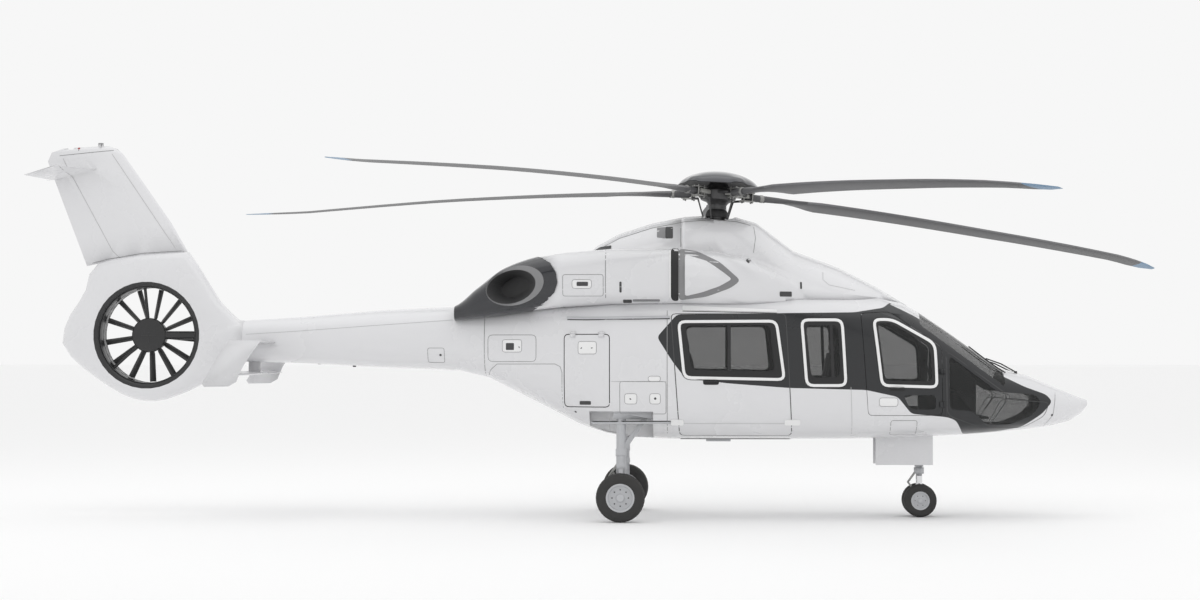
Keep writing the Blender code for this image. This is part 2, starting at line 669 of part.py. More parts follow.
def build_deck():
    """Engine cowling, front deck fairing, exhaust fairings, engines and gearbox."""
    body = fuselage_skin("body_clearance", -3.6, 2.9, BODY_CLEARANCE)
    engine_bed = fuselage_skin("engine_bed", -3.0, CABIN_REAR_X, BODY_CLEARANCE - SEAT)
    split = {
        "engine_cowling": ((-4.0, -2, 1.0), (COWL_SPLIT_X - SEAT, 2, 4.0)),
        "deck_fairing": ((COWL_SPLIT_X, -2, 1.0), (3.0, 2, 4.0)),
    }
    nacelles = [nacelle_skin(f"nacelle_{name}", side) for name, side in SIDES]
    inner = [
        nacelle_skin(f"nacelle_inner_{name}", side, -COWL_WALL, COWL_HOLLOW) for name, side in SIDES
    ]
    fairing_inner = mast_fairing_skin("fairing_inner", -COWL_WALL, limits=COWL_HOLLOW)
    join(fairing_inner, *inner)
    prisms = [
        side_prism(f"exhaust_cut_{name}", EXHAUST_FAIRING, side * 0.12, side * 1.4)
        for name, side in SIDES
    ]
    mast_hole = rod("mast_hole", (0, 0, 2.5), (0.03, 0.03, 3.3), 0.20, sides=24)
    for name, (low, high) in split.items():
        shell = mast_fairing_skin(name, 0.0, WHITE)
        join(shell, *nacelles)
        cut(shell, body, fairing_inner)
        keep(shell, box(f"{name}_limit", low, high))
        if name == "engine_cowling":
            cut(shell, *prisms)
        else:
            cut(shell, mast_hole)

    for name, side in SIDES:
        exhaust = nacelle_skin(f"exhaust_{name}", side, 0.0, (-3.41, -1.5), BLACK)
        limit = side_prism(
            f"exhaust_limit_{name}", EXHAUST_FAIRING, side * (0.12 + SEAT), side * 1.4,
            grow=-SEAT,
        )
        core = mast_fairing_skin(f"exhaust_core_{name}", SEAT * 2)
        bore = rod(
            f"exhaust_bore_{name}", (-2.10, side * 0.42, 1.98), (-2.95, side * 1.10, 2.10), 0.185,
            sides=24,
        )
        keep(exhaust, limit)
        cut(exhaust, body, core, bore)
        engine = rod(
            f"engine_{name}", (-1.85, side * 0.56, 2.07), (-0.72, side * 0.56, 2.07), 0.23, ENGINE,
            sides=20,
        )
        cut(engine, engine_bed)

    gearbox = box("main_gearbox", (-0.32, -0.30, 1.9106), (0.34, 0.30, 2.55), ENGINE, 0.04)
    bore = rod("mast_bore", (0, 0, -0.82), (0, 0, -0.5), MAST_RADIUS + 0.0009, sides=24)
    bore.data.transform(rotor_frame())
    cut(gearbox, bore)


def build_tail():
    boom = fuselage_skin("tail_boom", BOOM_REAR_X, FUSELAGE_REAR_X - SEAT, 0.0, WHITE)
    cut(boom, fuselage_skin("boom_hollow", BOOM_REAR_X + 0.15, FUSELAGE_REAR_X + 0.2, -BOOM_WALL))

    loops = []
    for i in range(SHROUD_SECTIONS):
        angle = 2 * math.pi * (i + 0.5) / SHROUD_SECTIONS
        away = Vector((math.cos(angle), 0.0, math.sin(angle)))
        outer, edge = shroud_edge_along(away)
        profile = [
            (DUCT_RADIUS, 0.0), (DUCT_RADIUS, DUCT_HALF_DEPTH - 0.06),
            (DUCT_RADIUS + 0.02, DUCT_HALF_DEPTH - 0.02), (DUCT_LIP_RADIUS, DUCT_HALF_DEPTH),
        ]
        for k in (0.30, 0.55, 0.78, 0.93):
            fall = math.sqrt(1 - k**2.2)
            profile.append((
                DUCT_LIP_RADIUS + (outer - DUCT_LIP_RADIUS) * k,
                edge + (DUCT_HALF_DEPTH - edge) * fall,
            ))
        profile.append((outer, max(edge, 0.012)))
        loop = [FAN_CENTRE + away * r + Vector((0, y, 0)) for r, y in profile]
        loop += [FAN_CENTRE + away * r - Vector((0, y, 0)) for r, y in reversed(profile[1:])]
        loops.append(loop)
    bm = bmesh.new()
    verts = [[bm.verts.new(point) for point in loop] for loop in loops]
    count = len(loops[0])
    for first, second in zip(verts, verts[1:] + verts[:1]):
        for k in range(count):
            n = (k + 1) % count
            bm.faces.new((first[k], first[n], second[n], second[k]))
    shroud = place("tail_shroud", bm, WHITE)
    neck_rings = []
    for x, bottom, top, half_width in (
        (BOOM_REAR_X - SEAT, 1.04, 1.585, 0.26), (-6.45, 1.05, 1.60, 0.245),
        (-6.65, 1.08, 1.66, 0.225), (-6.83, 1.12, 1.72, 0.20),
    ):
        neck_rings.append(section(
            x, 0, NECK_MIDDLE, half_width, top - NECK_MIDDLE, NECK_MIDDLE - bottom, 2.4, 2.2, 28,
        ))
    neck = place("neck", loft(neck_rings))
    keep(shroud, box("shroud_limit", (-9.5, -1, 0), (BOOM_REAR_X - SEAT, 1, 4)))
    join(shroud, neck)

    fin = place("tail_fin", loft([airfoil(*row) for row in FIN]), WHITE)
    top_edge = [(x, z + 0.001) for x, z, edge in SHROUD_EDGE if z >= FIN_FOOT_Z]
    foot = [(-8.6, 2.0), (-8.6, FIN_FOOT_Z), *top_edge, (-6.8, 2.51), (-6.8, 2.0)]
    cut(fin, side_prism("fin_foot", foot, -0.5, 0.5))
    for side in (1, -1):
        join(fin, winglet(side))
    join(fin, rod("tail_beacon", (-8.60, 0, 3.86), (-8.60, 0, 3.975), 0.042, sides=12))
    join(fin, rod("tail_lamp", (-8.20, 0, 3.88), (-8.20, 0, 3.945), 0.036, sides=12))

    plates = []
    for name, side in SIDES:
        y = side * STABILISER_HALF_SPAN
        plates.append((y - 0.02, y + 0.02))
    ring = side_prism("stabiliser", END_PLATE, *plates[0], WHITE)
    join(ring, side_prism("stabiliser_far_plate", END_PLATE, *plates[1]))
    reach_out = STABILISER_HALF_SPAN - 0.01
    join(ring, side_prism("stabiliser_lower_plane", LOWER_PLANE, -reach_out, reach_out))
    for name, side in SIDES:
        join(ring, side_prism(f"stabiliser_upper_{name}", UPPER_PLANE, side * 0.10, side * reach_out))
    join(ring, box("stabiliser_pylon", (-6.20, -0.05, 0.89), (-6.06, 0.05, 1.2)))
    cut(ring, fuselage_skin("boom_clearance", BOOM_REAR_X, -5.0, SEAT * 2))


def shroud_edge_along(away):
    """How far the shroud's outer edge lies from the fan's centre that way, and its thickness."""
    for a, b in zip(SHROUD_EDGE, SHROUD_EDGE[1:] + SHROUD_EDGE[:1]):
        start = Vector((a[0] - FAN_CENTRE.x, a[1] - FAN_CENTRE.z))
        step = Vector((b[0] - a[0], b[1] - a[1]))
        across = away.x * step.y - away.z * step.x
        if abs(across) < 1e-9:
            continue
        t = (start.x * away.z - start.y * away.x) / across
        distance = (start.x * step.y - start.y * step.x) / across
        if 0 <= t <= 1 and distance > 0:
            return distance, a[2] + (b[2] - a[2]) * t
    raise ValueError("the shroud's edge does not close")


def airfoil(z_lead, x_lead, z_trail, x_trail, half):
    """One level of the fin: a rounded nose, a long taper and a thin tail."""
    stations = (
        (0.0, 0.0), (0.03, 0.45), (0.10, 0.78), (0.25, 1.0), (0.50, 0.88), (0.78, 0.45), (1.0, 0.08),
    )
    lead = Vector((x_lead, 0, z_lead + SEAT))
    chord = Vector((x_trail, 0, z_trail + SEAT)) - lead
    port = [lead + chord * t + Vector((0, half * w, 0)) for t, w in stations]
    starboard = [lead + chord * t - Vector((0, half * w, 0)) for t, w in stations[1:]]
    return port + list(reversed(starboard))


def winglet(side):
    """The small swept plane near the top of the fin."""
    rings = []
    profile = ((0.0, 0.0), (0.15, 1.0), (0.5, 0.9), (1.0, 0.15))
    for y, x_lead, z_lead, x_trail, z_trail, thick in WINGLET:
        lead = Vector((x_lead, side * y, z_lead))
        chord = Vector((x_trail, side * y, z_trail)) - lead
        ring = [lead + chord * t + Vector((0, 0, thick * w)) for t, w in profile]
        ring += [lead + chord * t - Vector((0, 0, thick * w)) for t, w in reversed(profile[1:])]
        rings.append(ring)
    return place(f"winglet_{side}", loft(rings))


def build_fan():
    """The fixed pod with its shaft fairing and struts, and the turning fan behind it."""
    centre = FAN_CENTRE
    pod_front = -0.07
    pod_back = 0.03
    pod = rod(
        "fan_pod", centre + Vector((0, pod_front, 0)), centre + Vector((0, pod_back, 0)),
        POD_RADIUS, BLACK, sides=32,
    )
    strut_end = DUCT_RADIUS + 0.02
    for name, angle, radius in (("shaft", 0, 0.050), ("upper", 96, 0.018), ("lower", 222, 0.018)):
        a = math.radians(angle)
        outward = Vector((math.cos(a), 0, math.sin(a)))
        at = centre + Vector((0, -0.01, 0))
        start = at + outward * 0.1
        join(pod, rod(f"fan_strut_{name}", start, at + outward * strut_end, radius, sides=12))
    keep(pod, duct_plug())
    shaft_end = centre + Vector((0, 0.2, 0))
    cut(pod, rod("fan_shaft_bore", centre, shaft_end, FAN_SHAFT_RADIUS + 0.0012, sides=24))

    hub_start = centre + Vector((0, FAN_PLANE_Y - 0.065, 0))
    hub_end = centre + Vector((0, FAN_PLANE_Y + 0.09, 0))
    fan = rod("fan_rotor", hub_start, hub_end, POD_RADIUS - 0.01, BLACK, sides=32)
    bm = bmesh.new()
    tip = DUCT_RADIUS - 0.012
    for k in range(FAN_BLADES):
        angle = 2 * math.pi * k / FAN_BLADES
        middle = (POD_RADIUS - 0.06 + tip) / 2
        length = tip - (POD_RADIUS - 0.06)
        pitch = Matrix.Rotation(math.radians(38), 4, "X")
        turn = Matrix.Rotation(-angle, 4, "Y")
        where = Matrix.Translation(centre + Vector((0, FAN_PLANE_Y, 0))) @ turn
        bmesh.ops.create_cube(bm, size=1.0, matrix=where @ Matrix.Translation(
            (middle, 0, 0)) @ pitch @ Matrix.Diagonal((length, 0.018, 0.085, 1)))
    blades = place("fan_blades", bm)
    shaft_start = centre + Vector((0, 0.005, 0))
    shaft = rod("fan_shaft", shaft_start, centre + Vector((0, 0.1, 0)), FAN_SHAFT_RADIUS, sides=24)
    join(fan, blades, shaft)


def duct_plug():
    """A prism with the duct's own facets that fits it with a seat's clearance."""
    rings = []
    for y in (-1.0, 1.0):
        rings.append([
            FAN_CENTRE + Vector((
                (DUCT_RADIUS - SEAT) * math.cos(2 * math.pi * (i + 0.5) / SHROUD_SECTIONS), y,
                (DUCT_RADIUS - SEAT) * math.sin(2 * math.pi * (i + 0.5) / SHROUD_SECTIONS),
            )) for i in range(SHROUD_SECTIONS)
        ])
    return place("duct_plug", loft(rings))


def rotor_frame():
    normal = Vector((math.tan(ROTOR_TILT_FORWARD), math.tan(ROTOR_TILT_SIDE), 1)).normalized()
    tilt = Vector((0, 0, 1)).rotation_difference(normal).to_matrix().to_4x4()
    return Matrix.Translation(HUB) @ tilt


def build_rotor():
    """Hub in its own frame, tilted with the mast, then blades with their droop."""
    frame = rotor_frame()

    def put(item):
        item.data.transform(frame)
        return item

    head = put(rod("rotor_head", (0, 0, -0.80), (0, 0, 0.06), MAST_RADIUS, METAL, sides=24))
    join(head, put(rod("hub_plate", (0, 0, -0.065), (0, 0, 0.065), 0.30, sides=30)))
    for k in range(5):
        hub_angle = math.radians(HUB_FIRST_AZIMUTH + 72 * k)
        blade_angle = math.radians(BLADE_AZIMUTHS[k])
        arm_way = Vector((math.cos(hub_angle), math.sin(hub_angle), 0))
        blade_way = Vector((math.cos(blade_angle), math.sin(blade_angle), 0))
        arm = rod(
            f"hub_arm_{k + 1}", arm_way * 0.2, arm_way * 0.42, 0.064, radius_end=0.058, sides=12,
        )
        sleeve = rod(
            f"hub_sleeve_{k + 1}", blade_way * 0.33, blade_way * (BLADE_ROOT - SEAT), 0.05,
            radius_end=0.045, sides=12,
        )
        join(head, put(arm), put(sleeve))
        build_blade(k, frame)

    rings = []
    for radius, z in CAP_PROFILE:
        rings.append([
            Vector((radius * math.cos(a), radius * math.sin(a), z))
            for a in (2 * math.pi * i / 30 for i in range(30))
        ])
    cap = place("rotor_cap", loft(rings), BLACK)
    put(cap)
    neck = put(rod("cap_neck", (0, 0, 0.065 + SEAT), (0, 0, 0.10), 0.16, sides=20))
    join(cap, neck)


def build_blade(index, frame):
    angle = math.radians(BLADE_AZIMUTHS[index])
    outward = Vector((math.cos(angle), math.sin(angle), 0))
    # The rotor turns clockwise from above, so a blade's leading edge is on its clockwise side
    leading = Vector((math.sin(angle), -math.cos(angle), 0))
    rings = []
    stations = (
        (BLADE_ROOT, 0.12, 0.045), (0.80, 0.14, 0.040), (1.05, 0.24, 0.030), (1.45, 0.34, 0.024),
        (2.6, 0.34, 0.021), (3.9, 0.34, 0.019), (5.2, 0.33, 0.017), (5.9, 0.31, 0.015),
        (6.25, 0.30, 0.013), (6.50, 0.24, 0.010), (ROTOR_RADIUS, 0.09, 0.005),
    )
    for r, chord, half in stations:
        droop = -BLADE_DROOP * ((r - BLADE_ROOT) / (ROTOR_RADIUS - BLADE_ROOT)) ** 1.6
        twist = math.radians(9 - 11 * r / ROTOR_RADIUS)
        sweep = sweep_at(r)
        profile = ((0.0, 0.0), (0.06, 0.62), (0.25, 1.0), (0.6, 0.70), (1.0, 0.08))
        ring = []
        for t, w in profile + tuple(reversed(profile[1:])):
            sign = 1 if len(ring) < len(profile) else -1
            along = chord * (0.28 - t)
            up = half * w * sign
            ring.append(
                outward * r + leading * (sweep + along * math.cos(twist) - up * math.sin(twist))
                + Vector((0, 0, droop + along * math.sin(twist) + up * math.cos(twist)))
            )
        rings.append(ring)
    item = place(f"rotor_blade_{index + 1}", loft(rings), BLADE)
    item.data.transform(frame)


def sweep_at(r):
    """The blade bends forward beyond mid span and back again to its tip."""
    if r < 3.9:
        return 0.0
    if r < 5.9:
        return 0.10 * math.sin(math.pi * (r - 3.9) / 4.0)
    return 0.10 - 0.30 * ((r - 5.9) / (ROTOR_RADIUS - 5.9)) ** 1.3


def wheel(name, centre, radius, width, finish=RUBBER):
    """A tyre with rounded shoulders and its rim, turned about the axle."""
    half = width / 2
    profile = (
        (0.02, -half * 0.55), (radius * 0.50, -half * 0.55), (radius * 0.56, -half * 0.80),
        (radius * 0.86, -half), (radius * 0.97, -half * 0.72), (radius, -half * 0.30),
        (radius, half * 0.30), (radius * 0.97, half * 0.72), (radius * 0.86, half),
        (radius * 0.56, half * 0.80), (radius * 0.50, half * 0.55), (0.02, half * 0.55),
    )
    rings = []
    for r, y in profile:
        rings.append([
            centre + Vector((r * math.sin(a), y, r * math.cos(a)))
            for a in (2 * math.pi * i / WHEEL_POINTS for i in range(WHEEL_POINTS))
        ])
    return place(name, loft(rings), finish)


def along_nose(z, y=0.0):
    """A point on the nose leg's line, y to port of it."""
    return Vector((NOSE_WHEEL.x, y, z))


def build_landing_gear():
    axle_z = NOSE_WHEEL.z
    leg = rod("nose_gear_leg", along_nose(NOSE_LEG_END), along_nose(0.24), 0.058, METAL, sides=20)
    join(leg, rod("nose_brace", along_nose(-0.12), (2.14, 0, 0.23), 0.026, sides=12))
    join(leg, box("nose_trunnion", (2.08, -0.09, 0.20), (2.72, 0.09, NOSE_BAY_CEILING - SEAT)))
    fork = rod(
        "nose_gear_fork", along_nose(axle_z - 0.045), along_nose(NOSE_LEG_END - SEAT), 0.040, METAL,
        sides=20,
    )
    join(fork, rod("nose_collar", along_nose(-0.42), along_nose(-0.34), 0.066, sides=20))
    hub_half = 0.055
    join(fork, rod("nose_hub", along_nose(axle_z, -hub_half), along_nose(axle_z, hub_half), 0.050))
    offset = Vector((0, NOSE_WHEEL_OFFSET, 0))
    pair = wheel("nose_wheels", NOSE_WHEEL + offset, NOSE_WHEEL_RADIUS, NOSE_WHEEL_WIDTH)
    join(pair, wheel_cutter("nose_wheel_far", NOSE_WHEEL - offset, NOSE_WHEEL_RADIUS, NOSE_WHEEL_WIDTH))
    join(pair, rod("nose_axle", along_nose(axle_z, -0.14), along_nose(axle_z, 0.14), 0.030))
    cut(fork, rod("nose_axle_bore", along_nose(axle_z, -0.2), along_nose(axle_z, 0.2), 0.031))

    for name, side in SIDES:
        hub = Vector((MAIN_WHEEL.x, side * MAIN_WHEEL.y, MAIN_WHEEL.z))
        inboard = hub - Vector((0, side * 0.17, 0))
        top = Vector((MAIN_WHEEL.x, side * 0.77, 0.37))
        foot = inboard + Vector((0, -side * 0.02, -0.04))
        main = rod(f"main_gear_leg_{name}", top, foot, 0.062, METAL, sides=20)
        join(main, rod(f"main_axle_{name}", inboard, hub + Vector((0, side * 0.09, 0)), 0.034))
        brace_end = (MAIN_WHEEL.x + 0.34, side * 0.72, 0.37)
        join(main, rod(f"main_brace_{name}", top.lerp(inboard, 0.45), brace_end, 0.030, sides=12))
        join(main, box(f"main_trunnion_{name}", *sorted_corners(
            (MAIN_WHEEL.x - 0.10, side * 0.64, 0.31),
            (MAIN_WHEEL.x + 0.39, side * 0.85, BAY_CEILING - SEAT),
        )))
        tyre = wheel(f"main_wheel_{name}", hub, MAIN_WHEEL_RADIUS, MAIN_WHEEL_WIDTH)
        bore_start = hub - Vector((0, side * 0.12, 0))
        cut(tyre, rod(f"main_bore_{name}", bore_start, hub + Vector((0, side * 0.097, 0)), 0.035))

        bay_edge = side * (NOSE_BAY_HALF_WIDTH - SEAT)
        box(f"nose_gear_door_{name}", *sorted_corners(
            (2.04, bay_edge - side * 0.014, -0.30), (2.78, bay_edge, 0.10)), WHITE)


def wheel_cutter(name, centre, radius, width):
    item = wheel(name, centre, radius, width)
    PARTS.objects.unlink(item)
    CUTTERS.objects.link(item)
    item.hide_render = True
    item.display_type = "WIRE"
    return item


def build_belly_pad():
    box("belly_hook_pad", (-0.16, -0.10, 0.0), (0.16, 0.10, 0.0397), METAL)


clear_scene()
PARTS = new_collection("helicopter")
CUTTERS = new_collection("cutters")
build_fuselage()
build_cabin()
build_deck()
build_tail()
build_fan()
build_rotor()
build_landing_gear()
build_belly_pad()
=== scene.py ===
import json
import math

import bmesh
import bpy
from mathutils import Matrix, Vector
from mathutils.bvhtree import BVHTree

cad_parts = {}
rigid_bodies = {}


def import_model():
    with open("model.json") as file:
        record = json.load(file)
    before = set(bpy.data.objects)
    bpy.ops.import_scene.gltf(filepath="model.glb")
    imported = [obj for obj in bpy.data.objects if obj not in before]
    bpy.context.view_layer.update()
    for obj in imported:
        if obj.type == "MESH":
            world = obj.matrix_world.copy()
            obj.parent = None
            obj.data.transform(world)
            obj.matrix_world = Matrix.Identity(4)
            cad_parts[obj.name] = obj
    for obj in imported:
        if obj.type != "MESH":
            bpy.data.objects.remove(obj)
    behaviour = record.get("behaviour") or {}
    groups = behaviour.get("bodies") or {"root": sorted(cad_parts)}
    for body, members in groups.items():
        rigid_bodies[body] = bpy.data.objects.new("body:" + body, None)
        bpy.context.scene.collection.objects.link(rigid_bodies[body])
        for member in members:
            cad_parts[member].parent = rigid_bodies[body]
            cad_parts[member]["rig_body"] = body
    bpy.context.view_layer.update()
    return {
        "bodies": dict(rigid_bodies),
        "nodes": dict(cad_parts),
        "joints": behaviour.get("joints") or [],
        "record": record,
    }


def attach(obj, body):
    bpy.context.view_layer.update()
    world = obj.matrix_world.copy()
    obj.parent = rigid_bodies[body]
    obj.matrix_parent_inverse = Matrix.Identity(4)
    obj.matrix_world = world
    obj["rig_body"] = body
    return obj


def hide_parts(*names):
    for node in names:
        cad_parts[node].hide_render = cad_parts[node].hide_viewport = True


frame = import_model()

# Settings of the view and the studio
shot = {
    "place": (-0.3696, -30.0, 1.194), "forward": (-0.03943349, 0.99898164, 0.02192455),
    "lens": 68.4, "sensor": 36.0,
}
studio = {
    "ground": -0.98, "halfWidth": 300.0, "floorColour": (0.96, 0.96, 0.96),
    "worldColour": (1.0, 1.0, 1.0), "worldStrength": 0.93,
}
lamps = {
    "overhead": {"place": (-1.5, -1.0, 15.0), "aim": (-1.5, 0.0, 0.0), "size": (24.0, 14.0), "power": 550.0},
}

# The fuselage skin: x, belly, top, half width, height of the widest point, upper and lower power
hull = {
    "points": 36, "step": 0.5,
    "rows": (
        (4.80, 0.47, 0.54, 0.04, 0.50, 2.0, 2.0), (4.72, 0.37, 0.57, 0.13, 0.47, 2.0, 2.0),
        (4.56, 0.27, 0.635, 0.26, 0.44, 2.1, 2.1), (4.32, 0.21, 0.735, 0.40, 0.43, 2.2, 2.2),
        (4.02, 0.17, 0.865, 0.54, 0.45, 2.3, 2.4), (3.64, 0.13, 0.965, 0.69, 0.52, 2.5, 2.7),
        (3.40, 0.11, 1.13, 0.77, 0.58, 2.5, 2.9), (3.02, 0.09, 1.405, 0.87, 0.68, 2.6, 3.2),
        (2.62, 0.07, 1.675, 0.95, 0.76, 2.8, 3.5), (2.36, 0.06, 1.815, 0.985, 0.81, 3.0, 3.6),
        (2.05, 0.05, 1.90, 1.01, 0.86, 3.3, 3.8), (1.50, 0.045, 1.91, 1.03, 0.90, 3.6, 4.0),
        (0.00, 0.04, 1.91, 1.04, 0.92, 3.8, 4.0), (-0.60, 0.04, 1.90, 1.03, 0.92, 3.8, 3.9),
        (-1.10, 0.06, 1.89, 1.00, 0.93, 3.7, 3.6), (-1.45, 0.11, 1.87, 0.96, 0.95, 3.6, 3.3),
        (-1.80, 0.225, 1.85, 0.90, 0.99, 3.4, 3.0), (-2.20, 0.43, 1.83, 0.81, 1.06, 3.2, 2.8),
        (-2.60, 0.63, 1.81, 0.70, 1.14, 3.0, 2.6), (-3.00, 0.83, 1.785, 0.58, 1.24, 2.8, 2.5),
        (-3.40, 0.925, 1.765, 0.49, 1.32, 2.6, 2.4), (-4.40, 0.965, 1.72, 0.39, 1.33, 2.5, 2.3),
        (-5.50, 1.02, 1.63, 0.31, 1.31, 2.4, 2.2), (-6.25, 1.04, 1.585, 0.26, 1.31, 2.4, 2.2),
    ),
}
hull["rows"] = tuple(sorted(hull["rows"]))
hullCache = {}


def slopeAt(x0, y0, x1, y1, x2, y2):
    if x1 == x0 or x2 == x1:
        return (y2 - y0) / (x2 - x0)
    left = (y1 - y0) / (x1 - x0)
    right = (y2 - y1) / (x2 - x1)
    return 0.0 if left * right <= 0 else 2 * left * right / (left + right)


def hullRow(x):
    rows = hull["rows"]
    x = min(max(x, rows[0][0]), rows[-1][0])
    key = round(x, 4)
    if key in hullCache:
        return hullCache[key]
    index = max(i for i in range(len(rows) - 1) if rows[i][0] <= x)
    before, here, after = rows[max(index - 1, 0)], rows[index], rows[index + 1]
    beyond = rows[min(index + 2, len(rows) - 1)]
    step = after[0] - here[0]
    t = (x - here[0]) / step
    values = []
    for b, h, a, c in zip(before[1:], here[1:], after[1:], beyond[1:]):
        start = slopeAt(before[0], b, here[0], h, after[0], a) * step
        end = slopeAt(here[0], h, after[0], a, beyond[0], c) * step
        values.append(
            h * (2 * t**3 - 3 * t**2 + 1) + start * (t**3 - 2 * t**2 + t)
            + a * (3 * t**2 - 2 * t**3) + end * (t**3 - t**2)
        )
    hullCache[key] = values
    return values


# One on the skin, less inside and more outside
def hullLevel(x, y, z):
    belly, top, width, middle, powerUp, powerDown = hullRow(x)
    height, power = (top - middle, powerUp) if z >= middle else (middle - belly, powerDown)
    return ((abs(y) / width) ** power + (abs(z - middle) / height) ** power) ** (1 / power)


def hullDepth(p):
    middle = hullRow(p.x)[3]
    return (hullLevel(p.x, p.y, p.z) - 1) * math.hypot(p.y, p.z - middle)


def hullNormal(p):
    d = 0.004
    grad = Vector((
        hullLevel(p.x + d, p.y, p.z) - hullLevel(p.x - d, p.y, p.z),
        hullLevel(p.x, p.y + d, p.z) - hullLevel(p.x, p.y - d, p.z),
        hullLevel(p.x, p.y, p.z + d) - hullLevel(p.x, p.y, p.z - d),
    ))
    return grad.normalized() if grad.length > 1e-9 else Vector((0, 0, 1))


def hullSkin():
    rows = [row[0] for row in hull["rows"]]
    stations = []
    for a, b in zip(rows, rows[1:]):
        steps = max(1, round((b - a) / hull["step"]))
        stations += [a + (b - a) * k / steps for k in range(steps)]
    stations.append(rows[-1])
    verts, faces = [], []
    count = hull["points"]
    for x in stations:
        belly, top, width, middle, powerUp, powerDown = hullRow(x)
        for i in range(count):
            angle = 2 * math.pi * i / count
            c, s = math.cos(angle), math.sin(angle)
            height, power = (top - middle, powerUp) if s >= 0 else (middle - belly, powerDown)
            verts.append(Vector((
                x, width * math.copysign(abs(c) ** (2 / power), c),
                middle + height * math.copysign(abs(s) ** (2 / power), s),
            )))
    for k in range(len(stations) - 1):
        for i in range(count):
            j = (i + 1) % count
            faces.append((k * count + i, k * count + j, (k + 1) * count + j, (k + 1) * count + i))
    return BVHTree.FromPolygons(verts, faces)


def treeOf(*names):
    verts, faces = [], []
    for name in names:
        mesh = frame["nodes"][name].data
        base = len(verts)
        verts += [v.co.copy() for v in mesh.vertices]
        faces += [[base + i for i in face.vertices] for face in mesh.polygons]
    return BVHTree.FromPolygons(verts, faces)


trees = {
    "hull": hullSkin(),
    "deck": treeOf("engine_cowling", "deck_fairing"),
    "tail": treeOf("tail_shroud", "tail_fin", "tail_boom"),
    "nose": treeOf("nose_cone", "nose_shell"),
}
sides = (("Left", "left", 1), ("Right", "right", -1))


# The point of the skin seen from that side at x and z, and its normal
def onSkin(tree, side, x, z):
    spot, normal, face, far = trees[tree].ray_cast(Vector((x, side * 4, z)), Vector((0, -side, 0)))
    if spot is None or spot.y * side < -0.02:
        return None
    if tree == "hull":
        normal = hullNormal(spot)
    elif normal.y * side < 0:
        normal = -normal
    return spot, normal


# Materials
def makeGroup(name, inputs, outputs):
    group = bpy.data.node_groups.new(name, "ShaderNodeTree")
    for title, kind, value in inputs:
        socket = group.interface.new_socket(title, in_out="INPUT", socket_type=kind)
        socket.default_value = value
    for title, kind in outputs:
        group.interface.new_socket(title, in_out="OUTPUT", socket_type=kind)
    return group, group.nodes.new("NodeGroupInput"), group.nodes.new("NodeGroupOutput")


def addNode(tree, kind, settings=None, **values):
    node = tree.nodes.new(kind)
    for key, value in (settings or {}).items():
        setattr(node, key, value)
    for key, value in values.items():
        node.inputs[key.replace("_", " ")].default_value = value
    return node


# The shared end of each group: colour, roughness and bump from a pattern
def finishGroup(group, source, sink, coords, pattern, extra=None):
    link = group.links.new
    broad = addNode(group, "ShaderNodeTexNoise", Scale=0.9, Detail=5.0, Roughness=0.6)
    link(coords, broad.inputs["Vector"])
    amount = addNode(group, "ShaderNodeMath", {"operation": "MULTIPLY"})
    link(broad.outputs["Fac"], amount.inputs[0])
    link(source.outputs["Wear"], amount.inputs[1])
    if extra is not None:
        more = addNode(group, "ShaderNodeMath", {"operation": "MAXIMUM"})
        link(amount.outputs[0], more.inputs[0])
        link(extra, more.inputs[1])
        amount = more
    tint = addNode(group, "ShaderNodeMix", {"data_type": "RGBA"})
    link(amount.outputs[0], tint.inputs["Factor"])
    link(source.outputs["Clean"], tint.inputs[6])
    link(source.outputs["Worn"], tint.inputs[7])
    shade = addNode(group, "ShaderNodeMapRange")
    link(broad.outputs["Fac"], shade.inputs["Value"])
    link(source.outputs["Smooth"], shade.inputs["To Min"])
    link(source.outputs["Rough"], shade.inputs["To Max"])
    bump = addNode(group, "ShaderNodeBump", Distance=0.002)
    link(source.outputs["Bump"], bump.inputs["Strength"])
    link(pattern, bump.inputs["Height"])
    link(tint.outputs[2], sink.inputs["Colour"])
    link(shade.outputs[0], sink.inputs["Roughness"])
    link(bump.outputs[0], sink.inputs["Normal"])
    return group


groupInputs = (
    ("Clean", "NodeSocketColor", (0.8, 0.8, 0.8, 1)), ("Worn", "NodeSocketColor", (0.7, 0.7, 0.7, 1)),
    ("Wear", "NodeSocketFloat", 0.5), ("Smooth", "NodeSocketFloat", 0.2),
    ("Rough", "NodeSocketFloat", 0.4), ("Bump", "NodeSocketFloat", 0.1),
    ("Scale", "NodeSocketFloat", 60.0),
)
groupOutputs = (
    ("Colour", "NodeSocketColor"), ("Roughness", "NodeSocketFloat"), ("Normal", "NodeSocketVector"),
)


def grainGroup():
    group, source, sink = makeGroup("grain", groupInputs, groupOutputs)
    coords = addNode(group, "ShaderNodeTexCoord").outputs["Object"]
    fine = addNode(group, "ShaderNodeTexNoise", Detail=6.0, Roughness=0.55)
    group.links.new(coords, fine.inputs["Vector"])
    group.links.new(source.outputs["Scale"], fine.inputs["Scale"])
    return finishGroup(group, source, sink, coords, fine.outputs["Fac"])


def leatherGroup():
    group, source, sink = makeGroup("leatherGrain", groupInputs, groupOutputs)
    coords = addNode(group, "ShaderNodeTexCoord").outputs["Object"]
    cells = addNode(group, "ShaderNodeTexVoronoi", {"feature": "DISTANCE_TO_EDGE"})
    group.links.new(coords, cells.inputs["Vector"])
    group.links.new(source.outputs["Scale"], cells.inputs["Scale"])
    return finishGroup(group, source, sink, coords, cells.outputs["Distance"])


